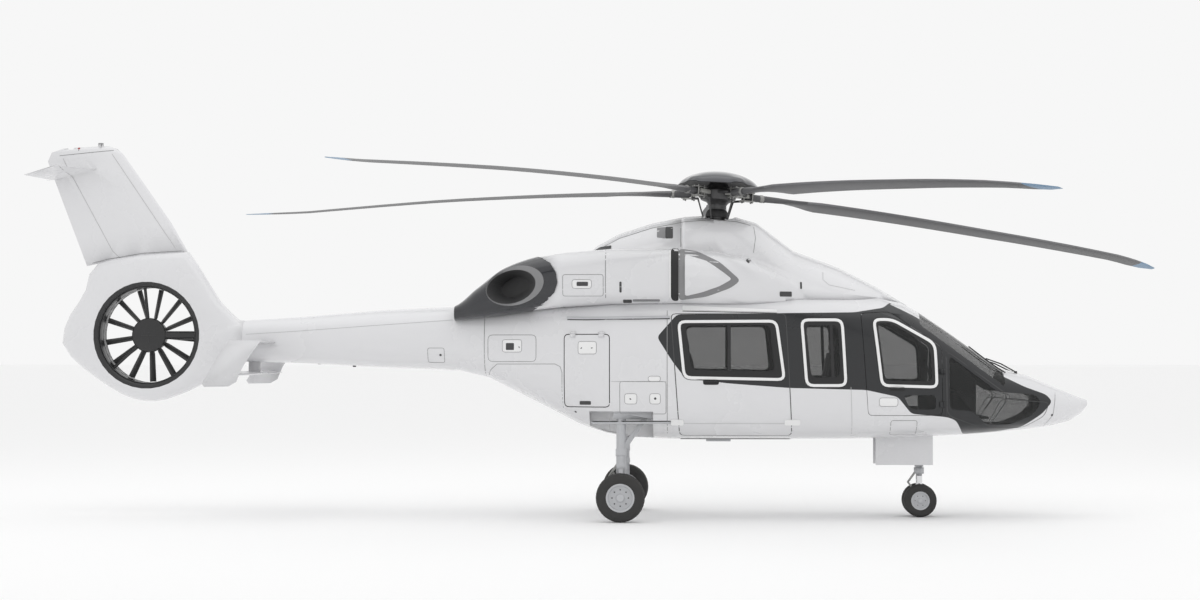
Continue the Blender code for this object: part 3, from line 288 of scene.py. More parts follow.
def brushedGroup():
    group, source, sink = makeGroup("brushedMetal", groupInputs, groupOutputs)
    coords = addNode(group, "ShaderNodeTexCoord").outputs["Object"]
    stretch = addNode(group, "ShaderNodeMapping")
    stretch.inputs["Scale"].default_value = (1.0, 12.0, 1.0)
    fine = addNode(group, "ShaderNodeTexNoise", Detail=8.0, Roughness=0.7)
    group.links.new(coords, stretch.inputs["Vector"])
    group.links.new(stretch.outputs[0], fine.inputs["Vector"])
    group.links.new(source.outputs["Scale"], fine.inputs["Scale"])
    return finishGroup(group, source, sink, coords, fine.outputs["Fac"])


def weaveGroup():
    group, source, sink = makeGroup("weave", groupInputs, groupOutputs)
    coords = addNode(group, "ShaderNodeTexCoord").outputs["Object"]
    height = None
    for direction in ("X", "Z"):
        wave = addNode(group, "ShaderNodeTexWave", {"bands_direction": direction}, Distortion=0.4, Detail=1.0)
        group.links.new(coords, wave.inputs["Vector"])
        group.links.new(source.outputs["Scale"], wave.inputs["Scale"])
        if height is None:
            height = wave.outputs["Fac"]
        else:
            both = addNode(group, "ShaderNodeMath", {"operation": "MAXIMUM"})
            group.links.new(height, both.inputs[0])
            group.links.new(wave.outputs["Fac"], both.inputs[1])
            height = both.outputs[0]
    return finishGroup(group, source, sink, coords, height)


# Grain, with more of the worn colour lower down, from 0.55 m towards the bottom
def lowDarkeningGroup():
    group, source, sink = makeGroup("lowDarkeningPaint", groupInputs, groupOutputs)
    coords = addNode(group, "ShaderNodeTexCoord").outputs["Object"]
    parts = addNode(group, "ShaderNodeSeparateXYZ")
    group.links.new(coords, parts.inputs[0])
    low = addNode(group, "ShaderNodeMapRange", From_Min=0.55, From_Max=0.02, To_Min=0.0, To_Max=0.55)
    group.links.new(parts.outputs["Z"], low.inputs["Value"])
    fine = addNode(group, "ShaderNodeTexNoise", Detail=6.0, Roughness=0.55)
    group.links.new(coords, fine.inputs["Vector"])
    group.links.new(source.outputs["Scale"], fine.inputs["Scale"])
    lowerShare = addNode(group, "ShaderNodeMath", {"operation": "MULTIPLY"})
    group.links.new(low.outputs[0], lowerShare.inputs[0])
    group.links.new(fine.outputs["Fac"], lowerShare.inputs[1])
    return finishGroup(group, source, sink, coords, fine.outputs["Fac"], lowerShare.outputs[0])


groups = {
    "grain": grainGroup(), "leather": leatherGroup(), "brushed": brushedGroup(),
    "weave": weaveGroup(), "lowDarkening": lowDarkeningGroup(),
}
looks = {
    "whitePaint": {"group": "lowDarkening", "clean": (0.74, 0.74, 0.755), "worn": (0.66, 0.66, 0.67), "wear": 0.35,
                   "smooth": 0.20, "rough": 0.34, "bump": 0.03, "scale": 45.0, "coat": 0.35},
    "frameWhite": {"group": "grain", "clean": (0.86, 0.86, 0.86), "worn": (0.74, 0.74, 0.74), "wear": 0.3,
                   "smooth": 0.25, "rough": 0.4, "bump": 0.02, "scale": 90.0, "coat": 0.2},
    "charcoalPaint": {"group": "grain", "clean": (0.014, 0.015, 0.017), "worn": (0.020, 0.021, 0.023),
                      "wear": 0.5, "smooth": 0.22, "rough": 0.36, "bump": 0.02, "scale": 60.0, "coat": 0.1},
    # gapDark colours dark joints, slots and small parts; it is also the painted shadow under the door rails, the door
    # track and the door sill, and the painted shade in the mast vent
    "gapDark": {"group": "grain", "clean": (0.05, 0.05, 0.052), "worn": (0.10, 0.10, 0.10), "wear": 0.5,
                "smooth": 0.6, "rough": 0.8, "bump": 0.1, "scale": 80.0},
    # seamGrey and fineSeam colour seams; seamGrey is also the painted shadow under the mast fairing's rim and the
    # painted shade along the fin root, and fineSeam the painted shade along the boom's crease
    "seamGrey": {"group": "grain", "clean": (0.22, 0.22, 0.225), "worn": (0.36, 0.36, 0.36), "wear": 0.6,
                 "smooth": 0.5, "rough": 0.7, "bump": 0.1, "scale": 80.0},
    "fineSeam": {"group": "grain", "clean": (0.42, 0.42, 0.425), "worn": (0.55, 0.55, 0.55), "wear": 0.6,
                 "smooth": 0.5, "rough": 0.7, "bump": 0.1, "scale": 80.0},
    # gasket colours seals and wells; on the intake slot it is painted shade in the opening
    "gasket": {"group": "grain", "clean": (0.012, 0.012, 0.013), "worn": (0.03, 0.03, 0.03), "wear": 0.4,
               "smooth": 0.5, "rough": 0.75, "bump": 0.15, "scale": 120.0},
    "blackPlastic": {"group": "grain", "clean": (0.012, 0.012, 0.013), "worn": (0.035, 0.035, 0.036),
                     "wear": 0.4, "smooth": 0.35, "rough": 0.55, "bump": 0.2, "scale": 160.0},
    "ductBlack": {"group": "grain", "clean": (0.010, 0.010, 0.011), "worn": (0.030, 0.030, 0.031),
                  "wear": 0.5, "smooth": 0.25, "rough": 0.45, "bump": 0.05, "scale": 50.0, "coat": 0.2},
    "fanGrey": {"group": "brushed", "clean": (0.030, 0.030, 0.031), "worn": (0.11, 0.11, 0.11), "wear": 0.7,
                "smooth": 0.3, "rough": 0.5, "bump": 0.1, "scale": 40.0, "metallic": 0.2},
    "bladeComposite": {"group": "weave", "clean": (0.055, 0.055, 0.058), "worn": (0.13, 0.13, 0.135),
                       "wear": 0.8, "smooth": 0.35, "rough": 0.55, "bump": 0.06, "scale": 90.0},
    "bladeEdge": {"group": "brushed", "clean": (0.16, 0.16, 0.165), "worn": (0.30, 0.30, 0.31), "wear": 0.8,
                  "smooth": 0.3, "rough": 0.5, "bump": 0.05, "scale": 30.0, "metallic": 0.7},
    "tipBlue": {"group": "grain", "clean": (0.11, 0.21, 0.34), "worn": (0.22, 0.33, 0.44), "wear": 0.7,
                "smooth": 0.3, "rough": 0.5, "bump": 0.04, "scale": 60.0},
    "capGloss": {"group": "grain", "clean": (0.008, 0.010, 0.018), "worn": (0.014, 0.016, 0.025),
                 "wear": 0.4, "smooth": 0.06, "rough": 0.14, "bump": 0.01, "scale": 30.0, "coat": 0.8},
    "hubMetal": {"group": "brushed", "clean": (0.38, 0.38, 0.37), "worn": (0.20, 0.20, 0.19), "wear": 0.9,
                 "smooth": 0.25, "rough": 0.5, "bump": 0.15, "scale": 25.0, "metallic": 0.8},
    "hubComposite": {"group": "grain", "clean": (0.42, 0.42, 0.40), "worn": (0.18, 0.18, 0.17), "wear": 0.8,
                     "smooth": 0.4, "rough": 0.6, "bump": 0.15, "scale": 50.0},
    "darkMetal": {"group": "brushed", "clean": (0.05, 0.05, 0.052), "worn": (0.12, 0.12, 0.12), "wear": 0.8,
                  "smooth": 0.3, "rough": 0.55, "bump": 0.2, "scale": 30.0, "metallic": 0.6},
    "engineMetal": {"group": "brushed", "clean": (0.30, 0.30, 0.30), "worn": (0.16, 0.15, 0.14), "wear": 0.9,
                    "smooth": 0.3, "rough": 0.55, "bump": 0.2, "scale": 20.0, "metallic": 0.85},
    "exhaustBlack": {"group": "grain", "clean": (0.014, 0.015, 0.019), "worn": (0.030, 0.031, 0.036),
                     "wear": 0.5, "smooth": 0.14, "rough": 0.30, "bump": 0.03, "scale": 50.0, "coat": 0.5},
    "heatMetal": {"group": "brushed", "clean": (0.10, 0.10, 0.105), "worn": (0.035, 0.033, 0.032),
                  "wear": 0.9, "smooth": 0.25, "rough": 0.5, "bump": 0.1, "scale": 18.0, "metallic": 0.8},
    "gearPaint": {"group": "grain", "clean": (0.55, 0.56, 0.58), "worn": (0.36, 0.36, 0.37), "wear": 0.6,
                  "smooth": 0.3, "rough": 0.5, "bump": 0.05, "scale": 70.0, "coat": 0.2},
    "chromeRod": {"group": "brushed", "clean": (0.75, 0.75, 0.76), "worn": (0.60, 0.60, 0.61), "wear": 0.5,
                  "smooth": 0.06, "rough": 0.18, "bump": 0.02, "scale": 60.0, "metallic": 1.0},
    "tyreRubber": {"group": "grain", "clean": (0.018, 0.018, 0.018), "worn": (0.07, 0.068, 0.065),
                   "wear": 0.7, "smooth": 0.65, "rough": 0.9, "bump": 0.5, "scale": 90.0},
    "seatLeather": {"group": "leather", "clean": (0.030, 0.030, 0.032), "worn": (0.055, 0.053, 0.052),
                    "wear": 0.6, "smooth": 0.4, "rough": 0.6, "bump": 0.35, "scale": 220.0},
    "cabinFabric": {"group": "weave", "clean": (0.09, 0.09, 0.092), "worn": (0.14, 0.14, 0.14), "wear": 0.6,
                    "smooth": 0.75, "rough": 0.95, "bump": 0.4, "scale": 160.0, "sheen": 0.3},
    "cabinLining": {"group": "leather", "clean": (0.05, 0.05, 0.05), "worn": (0.08, 0.08, 0.078), "wear": 0.5,
                    "smooth": 0.55, "rough": 0.75, "bump": 0.2, "scale": 150.0},
    # scoopGrey is the painted shade of the intake's surround and of the mast vent's ramp; it also colours the fin's
    # top, a sill strip and the exhaust mouth's lip
    "scoopGrey": {"group": "grain", "clean": (0.20, 0.20, 0.205), "worn": (0.30, 0.30, 0.305), "wear": 0.6,
                  "smooth": 0.35, "rough": 0.5, "bump": 0.04, "scale": 70.0},
    "lampLens": {"group": "grain", "clean": (0.35, 0.36, 0.36), "worn": (0.45, 0.45, 0.45), "wear": 0.4,
                 "smooth": 0.05, "rough": 0.12, "bump": 0.02, "scale": 90.0, "coat": 0.8},
    "lampRed": {"group": "grain", "clean": (0.35, 0.02, 0.02), "worn": (0.25, 0.03, 0.03), "wear": 0.4,
                "smooth": 0.05, "rough": 0.15, "bump": 0.02, "scale": 90.0, "coat": 0.8},
}
glass = {"colour": (0.012, 0.013, 0.013, 1.0), "alpha": 0.40, "smear": (0.02, 0.07)}


def makeLook(name, settings):
    material = bpy.data.materials.new(name)
    material.use_nodes = True
    tree = material.node_tree
    shader = tree.nodes["Principled BSDF"]
    group = tree.nodes.new("ShaderNodeGroup")
    group.node_tree = groups[settings["group"]]
    group.inputs["Clean"].default_value = (*settings["clean"], 1)
    group.inputs["Worn"].default_value = (*settings["worn"], 1)
    for title in ("Wear", "Smooth", "Rough", "Bump", "Scale"):
        group.inputs[title].default_value = settings[title.lower()]
    tree.links.new(group.outputs["Colour"], shader.inputs["Base Color"])
    tree.links.new(group.outputs["Roughness"], shader.inputs["Roughness"])
    tree.links.new(group.outputs["Normal"], shader.inputs["Normal"])
    shader.inputs["Metallic"].default_value = settings.get("metallic", 0.0)
    shader.inputs["Coat Weight"].default_value = settings.get("coat", 0.0)
    shader.inputs["Coat Roughness"].default_value = 0.08
    shader.inputs["Sheen Weight"].default_value = settings.get("sheen", 0.0)
    return material


def makeGlass(name, settings):
    material = bpy.data.materials.new(name)
    material.use_nodes = True
    tree = material.node_tree
    shader = tree.nodes["Principled BSDF"]
    coords = addNode(tree, "ShaderNodeTexCoord")
    smear = addNode(tree, "ShaderNodeTexNoise", Scale=2.5, Detail=5.0)
    span = addNode(tree, "ShaderNodeMapRange", To_Min=settings["smear"][0], To_Max=settings["smear"][1])
    tree.links.new(coords.outputs["Object"], smear.inputs["Vector"])
    tree.links.new(smear.outputs["Fac"], span.inputs["Value"])
    tree.links.new(span.outputs[0], shader.inputs["Roughness"])
    shader.inputs["Base Color"].default_value = settings["colour"]
    shader.inputs["Alpha"].default_value = settings["alpha"]
    shader.inputs["Specular IOR Level"].default_value = 0.6
    material.surface_render_method = "BLENDED"
    return material


look = {name: makeLook(name, settings) for name, settings in looks.items()}
look["glass"] = makeGlass("tintedGlass", glass)
print("materials made:", len(look))


# Piece makers
def addPiece(name, bm, material, body="airframe", angle=38, recalc=True):
    if recalc:
        bmesh.ops.recalc_face_normals(bm, faces=bm.faces)
    mesh = bpy.data.meshes.new(name)
    bm.to_mesh(mesh)
    bm.free()
    piece = bpy.data.objects.new(name, mesh)
    bpy.context.scene.collection.objects.link(piece)
    for one in (material if isinstance(material, (list, tuple)) else [material]):
        mesh.materials.append(look[one])
    mesh.shade_smooth()
    mesh.set_sharp_from_angle(angle=math.radians(angle))
    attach(piece, body)
    return piece


def bevelPiece(piece, width, segments=2, angle=40):
    step = piece.modifiers.new("roundedEdges", "BEVEL")
    step.width = width
    step.segments = segments
    step.limit_method = "ANGLE"
    step.angle_limit = math.radians(angle)
    step.harden_normals = True
    return piece


def insideOutline(outline, x, z):
    inside = False
    count = len(outline)
    for i in range(count):
        ax, az = outline[i]
        bx, bz = outline[(i + 1) % count]
        if (az > z) != (bz > z) and x < (bx - ax) * (z - az) / (bz - az) + ax:
            inside = not inside
    return inside


# The outline with each corner replaced by a short curve
def roundOutline(points, radius, steps=3):
    result = []
    count = len(points)
    for i, point in enumerate(points):
        corner = Vector(point)
        before = Vector(points[i - 1]) - corner
        after = Vector(points[(i + 1) % count]) - corner
        near = min(radius, before.length * 0.45, after.length * 0.45)
        start = corner + before.normalized() * near
        end = corner + after.normalized() * near
        for k in range(steps + 1):
            t = k / steps
            result.append((1 - t) ** 2 * start + 2 * t * (1 - t) * corner + t * t * end)
    return [(p.x, p.y) for p in result]


def growOutline(points, grow):
    corners = [Vector(point) for point in points]
    area = sum(a.x * b.y - b.x * a.y for a, b in zip(corners, corners[1:] + corners[:1]))
    sign = 1 if area > 0 else -1
    result = []
    for i, corner in enumerate(corners):
        into = (corner - corners[i - 1]).normalized()
        out = (corners[(i + 1) % len(corners)] - corner).normalized()
        normalIn = Vector((into.y, -into.x)) * sign
        normalOut = Vector((out.y, -out.x)) * sign
        mean = (normalIn + normalOut).normalized()
        result.append(corner + mean * grow / max(mean.dot(normalIn), 0.3))
    return [(p.x, p.y) for p in result]


# Outlines of equal corner counts, each divided where the first one is
def divided(outlines, step, closed=True):
    first = outlines[0] + outlines[0][:1] if closed else outlines[0]
    counts = [max(1, math.ceil((Vector(b) - Vector(a)).length / step)) for a, b in zip(first, first[1:])]
    result = []
    for outline in outlines:
        line = [Vector(p) for p in (outline + outline[:1] if closed else outline)]
        points = [a.lerp(b, k / n) for a, b, n in zip(line, line[1:], counts) for k in range(n)]
        result.append([(p.x, p.y) for p in points + ([] if closed else [line[-1]])])
    return result


# Faces inside the outline in the side view take the material with that index
def paintRegion(bm, outline, index):
    count = len(outline)
    for i in range(count):
        a = Vector((outline[i][0], 0, outline[i][1]))
        b = Vector((outline[(i + 1) % count][0], 0, outline[(i + 1) % count][1]))
        if (b - a).length < 1e-5:
            continue
        low = (min(a.x, b.x) - 1e-4, min(a.z, b.z) - 1e-4)
        high = (max(a.x, b.x) + 1e-4, max(a.z, b.z) + 1e-4)
        near = set()
        for face in bm.faces:
            xs = [v.co.x for v in face.verts]
            zs = [v.co.z for v in face.verts]
            if max(xs) > low[0] and min(xs) < high[0] and max(zs) > low[1] and min(zs) < high[1]:
                near.add(face)
        geom = set(near)
        for face in near:
            geom.update(face.edges)
            geom.update(face.verts)
        if geom:
            normal = Vector((b.z - a.z, 0, a.x - b.x)).normalized()
            bmesh.ops.bisect_plane(bm, geom=list(geom), dist=1e-6, plane_co=a, plane_no=normal)
    for face in bm.faces:
        middle = face.calc_center_median()
        if insideOutline(outline, middle.x, middle.z):
            face.material_index = index


# Skin faces are shaded by the true curve, and all others by their own smoothing
def setHullNormals(mesh, tolerance):
    normals = []
    corner = [n.vector.copy() for n in mesh.corner_normals]
    known = {}
    for face in mesh.polygons:
        onSurface = all(abs(hullDepth(mesh.vertices[i].co)) < tolerance for i in face.vertices)
        for loop in face.loop_indices:
            vertex = mesh.loops[loop].vertex_index
            if onSurface:
                if vertex not in known:
                    known[vertex] = hullNormal(mesh.vertices[vertex].co)
                normals.append(known[vertex])
            else:
                normals.append(corner[loop])
    mesh.normals_split_custom_set(normals)


# A smooth, painted copy of a CAD node that stands for it
def dress(node, material, paints=(), angle=38, onHull=False):
    source = frame["nodes"][node]
    bm = bmesh.new()
    bm.from_mesh(source.data)
    bmesh.ops.remove_doubles(bm, verts=bm.verts, dist=2e-5)
    for face in bm.faces:
        face.material_index = 0
    for index, (outline, paint) in enumerate(paints, 1):
        if callable(outline):
            for face in bm.faces:
                if outline(face):
                    face.material_index = index
        else:
            paintRegion(bm, outline, index)
    words = node.split("_")
    name = words[0] + "".join(word.capitalize() for word in words[1:]) + "Skin"
    finish = [material] + [paint for _, paint in paints]
    piece = addPiece(name, bm, finish, source["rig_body"], angle, recalc=False)
    if onHull:
        setHullNormals(piece.data, 0.012)
    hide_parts(node)
    return piece


def startRow(bm, spots, closed=True):
    row = [bm.verts.new(spot) for spot in spots]
    ends = row[1:] + row[:1] if closed else row[1:]
    return row, [bm.edges.new(pair) for pair in zip(row, ends)]


# The row's edges extruded, with each new vertex put at its spot
def growRow(bm, row, edges, spots):
    made = bmesh.ops.extrude_edge_only(bm, edges=edges)["geom"]
    fresh = {tuple(item.co): item for item in made if isinstance(item, bmesh.types.BMVert)}
    chosen = set(fresh.values())
    kept = [
        item for item in made
        if isinstance(item, bmesh.types.BMEdge) and all(v in chosen for v in item.verts)
    ]
    moved = [fresh[tuple(v.co)] for v in row]
    for vertex, spot in zip(moved, spots):
        vertex.co = spot
    return moved, kept


def turnOut(bm, side):
    bm.normal_update()
    if sum(face.normal.y * face.calc_area() for face in bm.faces) * side < 0:
        bmesh.ops.reverse_faces(bm, faces=bm.faces)


# A strip through rows of spots, such as a moulding's edges from outside to inside
def strip(name, rows, material, body, side, closed, angle=35):
    bm = bmesh.new()
    row, edges = startRow(bm, rows[0], closed)
    for spots in rows[1:]:
        row, edges = growRow(bm, row, edges, spots)
    turnOut(bm, side)
    return addPiece(name, bm, material, body, angle, recalc=False)


# Rows on the skin: each is an outline in the side view and its height above the skin
def skinStrip(name, tree, side, rows, material, body="airframe", step=0.04, closed=True):
    spots = []
    for points, (_, high) in zip(divided([list(row[0]) for row in rows], step, closed), rows):
        hits = [onSkin(tree, side, x, z) for x, z in points]
        if any(hit is None for hit in hits):
            print("left out, off the skin:", name)
            return None
        spots.append([spot + normal * high for spot, normal in hits])
    return strip(name, spots, material, body, side, closed)


# A flat line on the skin
def ribbon(name, tree, side, points, material, body="airframe", width=0.008, lift=0.0012, closed=False):
    line = divided([list(points)], 0.035, closed)[0]
    hits = [hit for hit in (onSkin(tree, side, x, z) for x, z in line) if hit]
    if len(hits) < 2:
        print("left out, off the skin:", name)
        return None
    rows = [[], []]
    count = len(hits)
    for i, (spot, normal) in enumerate(hits):
        before = hits[i - 1][0] if i or closed else spot
        after = hits[(i + 1) % count][0] if i < count - 1 or closed else spot
        across = normal.cross(after - before).normalized() * width / 2
        rows[0].append(spot + normal * lift - across)
        rows[1].append(spot + normal * lift + across)
    return strip(name, rows, material, body, side, closed, 80)


# A panel that follows the skin, with a rim that drops into it; rise adds height by place
def patch(name, tree, side, outline, material, body="airframe", lift=0.002, cell=0.05, sink=0.004, rise=None):
    bm = bmesh.new()
    bm.faces.new([bm.verts.new((x, 0, z)) for x, z in outline])
    for axis in (0, 2):
        low = min(v.co[axis] for v in bm.verts)
        high = max(v.co[axis] for v in bm.verts)
        steps = int((high - low) / cell)
        for k in range(1, steps + 1):
            place, normal = [0, 0, 0], [0, 0, 0]
            place[axis] = low + (high - low) * k / (steps + 1)
            normal[axis] = 1
            geom = bm.verts[:] + bm.edges[:] + bm.faces[:]
            bmesh.ops.bisect_plane(bm, geom=geom, dist=1e-6, plane_co=place, plane_no=normal)
    hits = {v: onSkin(tree, side, v.co.x, v.co.z) for v in bm.verts}
    if any(hit is None for hit in hits.values()):
        print("left out, off the skin:", name)
        bm.free()
        return None
    rim = [edge for edge in bm.edges if edge.is_boundary]
    drop = bmesh.ops.extrude_edge_only(bm, edges=rim)["geom"]
    lowered = [v for v in drop if isinstance(v, bmesh.types.BMVert)]
    for v in lowered:
        spot, normal = onSkin(tree, side, v.co.x, v.co.z)
        v.co = spot - normal * sink
    for v, (spot, normal) in hits.items():
        extra = rise(v.co.x, v.co.z) if rise else 0.0
        v.co = spot + normal * lift + Vector((0, side * extra, 0))
    turnOut(bm, side)
    return addPiece(name, bm, material, body, 50, recalc=False)


def turnTo(way, place, up="Y"):
    return Matrix.Translation(place) @ Vector(way).to_track_quat("Z", up).to_matrix().to_4x4()


# A round rod along a line; radius is one number or one for each point
def addTube(bm, points, radius, sides=10, closed=False):
    line = [Vector(p) for p in points]
    count = len(line)
    radii = radius if isinstance(radius, (list, tuple)) else [radius] * count
    frames = []
    across = None
    for i in range(count):
        before = line[i - 1] if i or closed else line[i]
        after = line[(i + 1) % count] if i < count - 1 or closed else line[i]
        way = (after - before).normalized()
        across = (across - way * across.dot(way)).normalized() if across else way.orthogonal().normalized()
        axes = Matrix((across, way.cross(across), way)).transposed().to_4x4()
        frames.append(Matrix.Translation(line[i]) @ axes @ Matrix.Diagonal((radii[i], radii[i], 1, 1)))
    ring = bmesh.ops.create_circle(bm, segments=sides, radius=1.0, matrix=frames[0])["verts"]
    edges = list({edge for v in ring for edge in v.link_edges})
    first = list(edges)
    for before, after in zip(frames, frames[1:]):
        made = bmesh.ops.extrude_edge_only(bm, edges=edges)["geom"]
        ring = [item for item in made if isinstance(item, bmesh.types.BMVert)]
        chosen = set(ring)
        edges = [
            item for item in made
            if isinstance(item, bmesh.types.BMEdge) and all(v in chosen for v in item.verts)
        ]
        bmesh.ops.transform(bm, matrix=after @ before.inverted(), verts=ring)
    if closed:
        bmesh.ops.bridge_loops(bm, edges=edges + first)
    else:
        bmesh.ops.holes_fill(bm, edges=edges + first)


def tube(name, points, radius, material, body="airframe", sides=10, closed=False):
    bm = bmesh.new()
    addTube(bm, points, radius, sides, closed)
    return addPiece(name, bm, material, body, 45)


# A turned form about its own Z axis; a profile point is radius, height
def addLathe(bm, profile, matrix, segments=48, shut=False):
    known = set(bm.verts)
    row, edges = startRow(bm, [(radius, 0, height) for radius, height in profile], shut)
    bmesh.ops.spin(
        bm, geom=row + edges, axis=(0, 0, 1), cent=(0, 0, 0), steps=segments, angle=2 * math.pi, use_merge=True,
    )
    made = [v for v in bm.verts if v not in known]
    bmesh.ops.remove_doubles(bm, verts=made, dist=1e-5)
    bmesh.ops.transform(bm, matrix=matrix, verts=[v for v in bm.verts if v not in known])


def lathe(name, profile, matrix, material, body="airframe", segments=48, angle=35, shut=False):
    bm = bmesh.new()
    addLathe(bm, profile, matrix, segments, shut)
    return addPiece(name, bm, material, body, angle)


def addBlock(bm, matrix, size, bevel=0.004, segments=2):
    made = bmesh.ops.create_cube(bm, size=1.0, matrix=matrix @ Matrix.Diagonal((*size, 1)))
    if bevel:
        edges = list({edge for v in made["verts"] for edge in v.link_edges})
        bmesh.ops.bevel(
            bm, geom=edges, offset=bevel, segments=segments, profile=0.5, material=-1, affect="EDGES",
        )


def block(name, matrix, size, material, body="airframe", bevel=0.004):
    bm = bmesh.new()
    addBlock(bm, matrix, size, bevel)
    return addPiece(name, bm, material, body, 40)


# Outlines in the side view that the pieces share
outlines = {
    "slidingDoor": ((-0.612, 1.655), (0.845, 1.655), (0.925, 0.10), (-0.503, 0.10)),
    "pilotDoor": ((1.795, 1.665), (2.17, 1.685), (2.835, 1.235), (2.835, 0.36), (1.885, 0.36)),
    "cabinWindow": ((-0.43, 1.56), (0.65, 1.56), (0.765, 0.86), (-0.345, 0.86)),
    "sideWindow": ((1.035, 1.58), (1.56, 1.58), (1.60, 0.79), (1.10, 0.79)),
    "pilotWindow": ((1.975, 1.56), (2.20, 1.56), (2.69, 1.27), (2.73, 0.78), (2.06, 0.78)),
    "lowWindow": ((2.33, 0.62), (2.745, 0.62), (2.745, 0.44), (2.42, 0.44)),
    "baggageDoor": ((-1.985, 1.40), (-1.39, 1.40), (-1.39, 0.46), (-1.985, 0.46)),
}
bandOutline = roundOutline((
    (-0.535, 1.648), (1.72, 1.674), (2.10, 1.735), (2.173, 1.790), (2.52, 1.62), (3.02, 1.30), (3.483, 0.933),
    (3.926, 0.722), (4.217, 0.620), (4.293, 0.531), (4.153, 0.378), (3.886, 0.20), (3.60, 0.145),
    (3.137, 0.105), (3.012, 0.298), (2.899, 0.340), (2.434, 0.385), (2.258, 0.600), (1.855, 0.688),
    (0.883, 0.713), (0.111, 0.771), (-0.434, 0.839), (-0.598, 1.055), (-0.789, 1.359),
), 0.05)
band = [(bandOutline, "charcoalPaint")]



# Faces well under the skin, which the lining covers
def underSkin(face):
    return all(hullDepth(v.co) < -0.012 for v in face.verts)


for node in ("cabin_shell", "nose_shell", "rear_fuselage", "sliding_door_left", "sliding_door_right",
             "pilot_door_left", "pilot_door_right"):
    dress(node, "whitePaint", band + [(underSkin, "cabinLining")], onHull=True)
for node in ("nose_cone", "tail_boom", "baggage_door_left", "baggage_door_right"):
    dress(node, "whitePaint", [(underSkin, "cabinLining")], onHull=True)
dress("tail_fin", "whitePaint", [(lambda face: face.calc_center_median().z > 3.912, "scoopGrey")], angle=32)
for node in ("engine_cowling", "deck_fairing", "stabiliser", "nose_gear_door_left", "nose_gear_door_right"):
    dress(node, "whitePaint", angle=42)
print("shells dressed")


def inDuct(face):
    middle = face.calc_center_median()
    return math.hypot(middle.x + 7.53, middle.z - 1.39) < 0.70


dress("tail_shroud", "whitePaint", [(inDuct, "ductBlack")], angle=32)
for title, word, side in sides:
    for kind in ("cabin_glass", "side_glass", "pilot_glass", "pilot_low_glass", "nose_glass", "windscreen"):
        dress(f"{kind}_{word}", "glass", onHull=True)
    dress(f"engine_{word}", "engineMetal")
dress("main_gearbox", "engineMetal")
dress("cabin_floor", "cabinFabric")
dress("instrument_panel", "blackPlastic")
dress("belly_hook_pad", "gearPaint")
for node in ("nose_gear_leg", "nose_gear_fork", "main_gear_leg_left", "main_gear_leg_right"):
    dress(node, "gearPaint")
print("inner nodes dressed")

# White window frames with their seals, bars and trim
windowSets = {
    "cabinWindow": {
        "body": "airframe", "radius": 0.075,
        "outer": ((-0.535, 1.572), (0.741, 1.578), (0.845, 0.801), (-0.459, 0.826)),
        "inner": ((-0.425, 1.500), (0.640, 1.506), (0.700, 0.925), (-0.345, 0.945)),
        "bars": (((0.128, 1.51), (0.128, 0.92)),),
    },
    "sideWindow": {
        "body": "airframe", "radius": 0.075,
        "outer": ((1.027, 1.594), (1.575, 1.594), (1.622, 0.726), (1.092, 0.726)),
        "inner": ((1.100, 1.505), (1.500, 1.505), (1.530, 0.850), (1.165, 0.850)),
        "bars": (((1.415, 1.52), (1.440, 0.84)),),
    },
    "pilotWindow": {
        "body": "pilotDoor", "radius": 0.07,
        "outer": ((1.942, 1.597), (2.203, 1.600), (2.760, 1.285), (2.779, 0.705), (2.045, 0.727)),
        "inner": ((2.010, 1.530), (2.185, 1.533), (2.670, 1.235), (2.700, 0.800), (2.100, 0.812)),
        "bars": (),
    },
}
frameShape = {"high": 0.0055, "edge": 0.006, "width": 0.036, "barWidth": 0.040, "barLift": 0.001}


def bodyOf(kind, word):
    return {"pilotDoor": f"pilot_door_{word}", "baggageDoor": f"baggage_door_{word}"}.get(kind, "airframe")


def buildWindows():
    high, edge, width = frameShape["high"], frameShape["edge"], frameShape["width"]
    for title, word, side in sides:
        for kind, settings in windowSets.items():
            body = bodyOf(settings["body"], word)
            radius = settings["radius"]
            outer = roundOutline(settings["outer"], radius + 0.03, 4)
            inner = growOutline(outer, -width)
            outerTop = growOutline(outer, -edge)
            innerTop = growOutline(inner, edge)
            opening = roundOutline(settings["inner"], radius, 4)
            skinStrip(f"{kind}Frame{title}", "hull", side, (
                (outer, -0.001), (outer, high - 0.002), (outerTop, high), (innerTop, high),
                (inner, high - 0.002), (inner, -0.006),
            ), "frameWhite", body)
            skinStrip(f"{kind}Seal{title}", "hull", side, (
                (growOutline(inner, 0.001), 0.0005), (growOutline(inner, -0.004), 0.0025),
                (growOutline(opening, 0.004), 0.0025), (opening, -0.004),
            ), "gasket", body)
            ribbon(f"{kind}OuterLine{title}", "hull", side, growOutline(outer, 0.010), "gasket", body, 0.007,
                   0.0012, True)
            for number, (start, end) in enumerate(settings["bars"], 1):
                ribbon(f"{kind}Bar{number}{title}", "hull", side, (start, end), "blackPlastic", body,
                       frameShape["barWidth"], frameShape["barLift"])


buildWindows()
print("windows framed")

